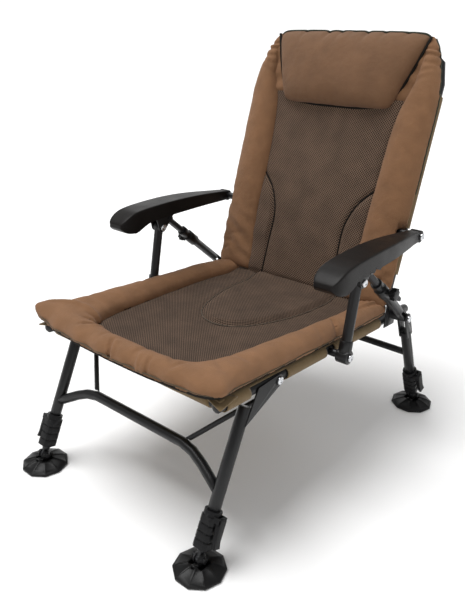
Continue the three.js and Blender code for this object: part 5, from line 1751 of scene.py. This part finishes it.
    def build(self) -> None:
        """Builds and dresses the backrest's soft pieces, and attaches all but the mesh centre,
        bolsters and wing seams, which are left unattached.
        """
        made = self.materials
        skin = made.cloth("back_peach_skin", Materials.SKIN)
        back = self.layout.back
        mesh = made.mesh_cloth("back_spacer_mesh", Materials.MESH, back.along, pitch=0.0064)
        olive = made.cloth("cover_canvas", Materials.OLIVE, threads=300)
        green = made.cloth("green_edging", Materials.PIPING)
        # near-black cloth: the wing seams' own colour, and painted shadow on the tube round the
        # pillow
        dark = made.cloth("dark_seam", Materials.DARK_CLOTH)
        panel = dress(self.panel(), mesh)
        yoke = dress(self.yoke(), skin)
        pieces = [yoke]
        hinged = [panel]
        for side, bolster in self.bolsters().items():
            dress(bolster, skin)
            seam = dress(self.wing_seam(side), dark)
            edging = dress(self.edging(side, bolster), green)
            pieces.append(edging)
            hinged += [bolster, seam]
        # painted shadow: the near-black tube round the pillow stands in for the shade between
        # pillow, yoke and bolsters
        pillow_shadow = dress(self.pillow_seam(), dark)
        pillow = self.pillow()
        self.fill_pillow(pillow)
        dress(pillow, made.cloth("pillow_peach_skin", Materials.PILLOW))
        piping = dress(self.pillow_piping(pillow), green)
        cover = dress(self.cover(), olive)
        hem = dress(self.top_hem(), olive)
        pieces += [pillow_shadow, pillow, piping, cover, hem]
        for piece in pieces:
            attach(piece, "backrest")
            LOG.info("back piece %s: %d faces", piece.name, len(piece.data.polygons))
        for piece in hinged:
            back.point(0, self.bend_from, self.bend_out)
            back.point(0, self.bend_to, self.bend_out)
            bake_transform(piece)
            LOG.info("hinged piece %s: %d faces", piece.name, len(piece.data.polygons))
        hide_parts("back_cushion")
        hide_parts("head_pillow")
        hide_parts("back_cover")


@dataclass
class Frame:
    """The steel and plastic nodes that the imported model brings, with their finishes and edges."""

    nodes: dict
    materials: Materials
    bevel: float = 0.6 * MM
    limit_deg: float = 38.0

    SOFT = ("seat_sling", "seat_cushion", "back_cover", "back_cushion", "head_pillow")

    def _finish_name(self, node: str) -> str:
        """Returns which finish a node takes."""
        if node.startswith("armrest_bracket"):
            return "black_steel"
        if node.startswith("armrest"):
            return "arm_plastic"
        if node.startswith("mud_foot"):
            return "foot_plastic"
        if node.startswith(("leg_lock", "lock_lever", "strut_knob", "knuckle")):
            return "black_plastic"
        if node.startswith(("strut_rod", "leg_stem")):
            return "charcoal_steel"
        return "black_steel"

    def build(self) -> dict[str, bpy.types.Material]:
        """Gives each hard node its material, welded edges and small bevels.

        Returns:
            The hard materials by name.
        """
        made = {name: self.materials.hard(name, finish)
                for name, finish in Materials.FINISHES.items()}
        for name, thing in sorted(self.nodes.items()):
            if name in self.SOFT:
                continue
            dress(thing, made[self._finish_name(name)])
            soften(thing)
            weld = thing.modifiers.new("weld", "WELD")
            weld.merge_threshold = 0.02 * MM
            bevel = thing.modifiers.new("edges", "BEVEL")
            bevel.width = self.bevel
            bevel.segments = 2
            bevel.limit_method = "ANGLE"
            bevel.angle_limit = math.radians(self.limit_deg)
            bevel.harden_normals = True
            LOG.info("node %s dressed", name)
        return made


@dataclass
class Studio:
    """Camera, floor and soft light."""

    eye: Vector
    forward: Vector
    lens: float

    EYE = Vector((0.87791, -1.062156, 0.95238))
    FORWARD = Vector((-0.59064, 0.69925, -0.40273))
    LENS = 38.96

    def camera(self) -> None:
        """Places the camera at the photograph's viewing angle."""
        data = bpy.data.cameras.new("studio_camera")
        data.sensor_fit = "VERTICAL"
        data.sensor_height = 36
        data.lens = self.lens
        thing = linked("studio_camera", data)
        thing.location = self.eye
        thing.rotation_euler = self.forward.to_track_quat("-Z", "Y").to_euler()
        bpy.context.scene.camera = thing

    def floor(self) -> None:
        """Lays the plain pale floor."""
        bpy.ops.object.select_all(action="DESELECT")
        bpy.ops.mesh.primitive_plane_add(size=400, location=(0, 0, 0))
        thing = bpy.context.active_object
        thing.name = "studio_floor"
        material = bpy.data.materials.new("studio_floor")
        material.use_nodes = True
        shader = material.node_tree.nodes["Principled BSDF"]
        shader.inputs["Base Color"].default_value = (0.88, 0.88, 0.88, 1)
        shader.inputs["Roughness"].default_value = 0.9
        thing.data.materials.append(material)

    def light(self, name: str, place: Vector, aim: Vector, size: float, power: float) -> None:
        """Adds one soft area light.

        Args:
            name: The light's name.
            place: Where it is.
            aim: What it points at.
            size: Its width in metres.
            power: Its power in watts.
        """
        data = bpy.data.lights.new(name, "AREA")
        data.shape = "SQUARE"
        data.size = size
        data.energy = power
        thing = linked(name, data)
        thing.location = place
        thing.rotation_euler = (aim - place).to_track_quat("-Z", "Y").to_euler()

    def sun(self, strength: float, direction: Vector, spread_deg: float) -> None:
        """Adds one broad overhead light that reaches the whole floor.

        Args:
            strength: Its strength.
            direction: Where its light goes.
            spread_deg: How soft it is, in degrees.
        """
        data = bpy.data.lights.new("overhead", "SUN")
        data.energy = strength
        data.angle = math.radians(spread_deg)
        thing = linked("overhead", data)
        thing.rotation_euler = direction.to_track_quat("-Z", "Y").to_euler()

    def world(self, horizon: float, sky: float) -> None:
        """Sets the pale world light, brighter low down so that the backdrop is white.

        Args:
            horizon: Strength near the floor's edge.
            sky: Strength overhead.
        """
        world = bpy.data.worlds.new("studio_world")
        world.use_nodes = True
        tree = world.node_tree
        background = tree.nodes["Background"]
        background.inputs["Color"].default_value = (1, 1, 1, 1)
        coords = tree.nodes.new("ShaderNodeTexCoord")
        split = tree.nodes.new("ShaderNodeSeparateXYZ")
        ramp = add_node(tree, "ShaderNodeMapRange", {
            "From Min": 0.05, "From Max": 0.15, "To Min": horizon, "To Max": sky,
        })
        tree.links.new(coords.outputs["Generated"], split.inputs["Vector"])
        tree.links.new(split.outputs["Z"], ramp.inputs["Value"])
        tree.links.new(ramp.outputs["Result"], background.inputs["Strength"])
        bpy.context.scene.world = world

    def build(self) -> None:
        """Builds the whole studio."""
        self.camera()
        self.floor()
        self.world(horizon=1.1, sky=0.45)
        bpy.context.scene.view_settings.view_transform = "Standard"
        middle = Vector((0, 0, 0.45))
        self.sun(strength=3.0, direction=Vector((0.3, 0.14, -1.0)), spread_deg=36)
        self.light("fill", Vector((2.6, -1.2, 1.6)), middle, size=2.0, power=8)
        self.light("rim", Vector((-1.6, 1.9, 2.0)), middle, size=1.6, power=12)


def main() -> None:
    """Builds the dressed chair in order."""
    logging.basicConfig(level=logging.INFO, format="%(name)s: %(message)s")
    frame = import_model()
    layout = Layout.from_frame(frame)
    materials = Materials()
    hard = Frame(frame["nodes"], materials).build()
    joints = {joint["name"]: Vector(joint["pos_m"])
              for joint in frame["joints"] if "pos_m" in joint}
    pivot = joints["armrest_swing_left"]
    joints["armrest_rear"] = pivot + joints["back_fold"] - joints["post_swing_left"]
    joints["armrest_rear"].x = pivot.x
    Armrest(pivot, joints["armrest_rear"], hard["arm_plastic"]).build()
    Fasteners(joints, materials).build()
    SeatAssembly(layout, materials).build()
    BackAssembly(layout, materials).build()
    Studio(Studio.EYE, Studio.FORWARD, Studio.LENS).build()


if __name__ == "__main__":
    main()
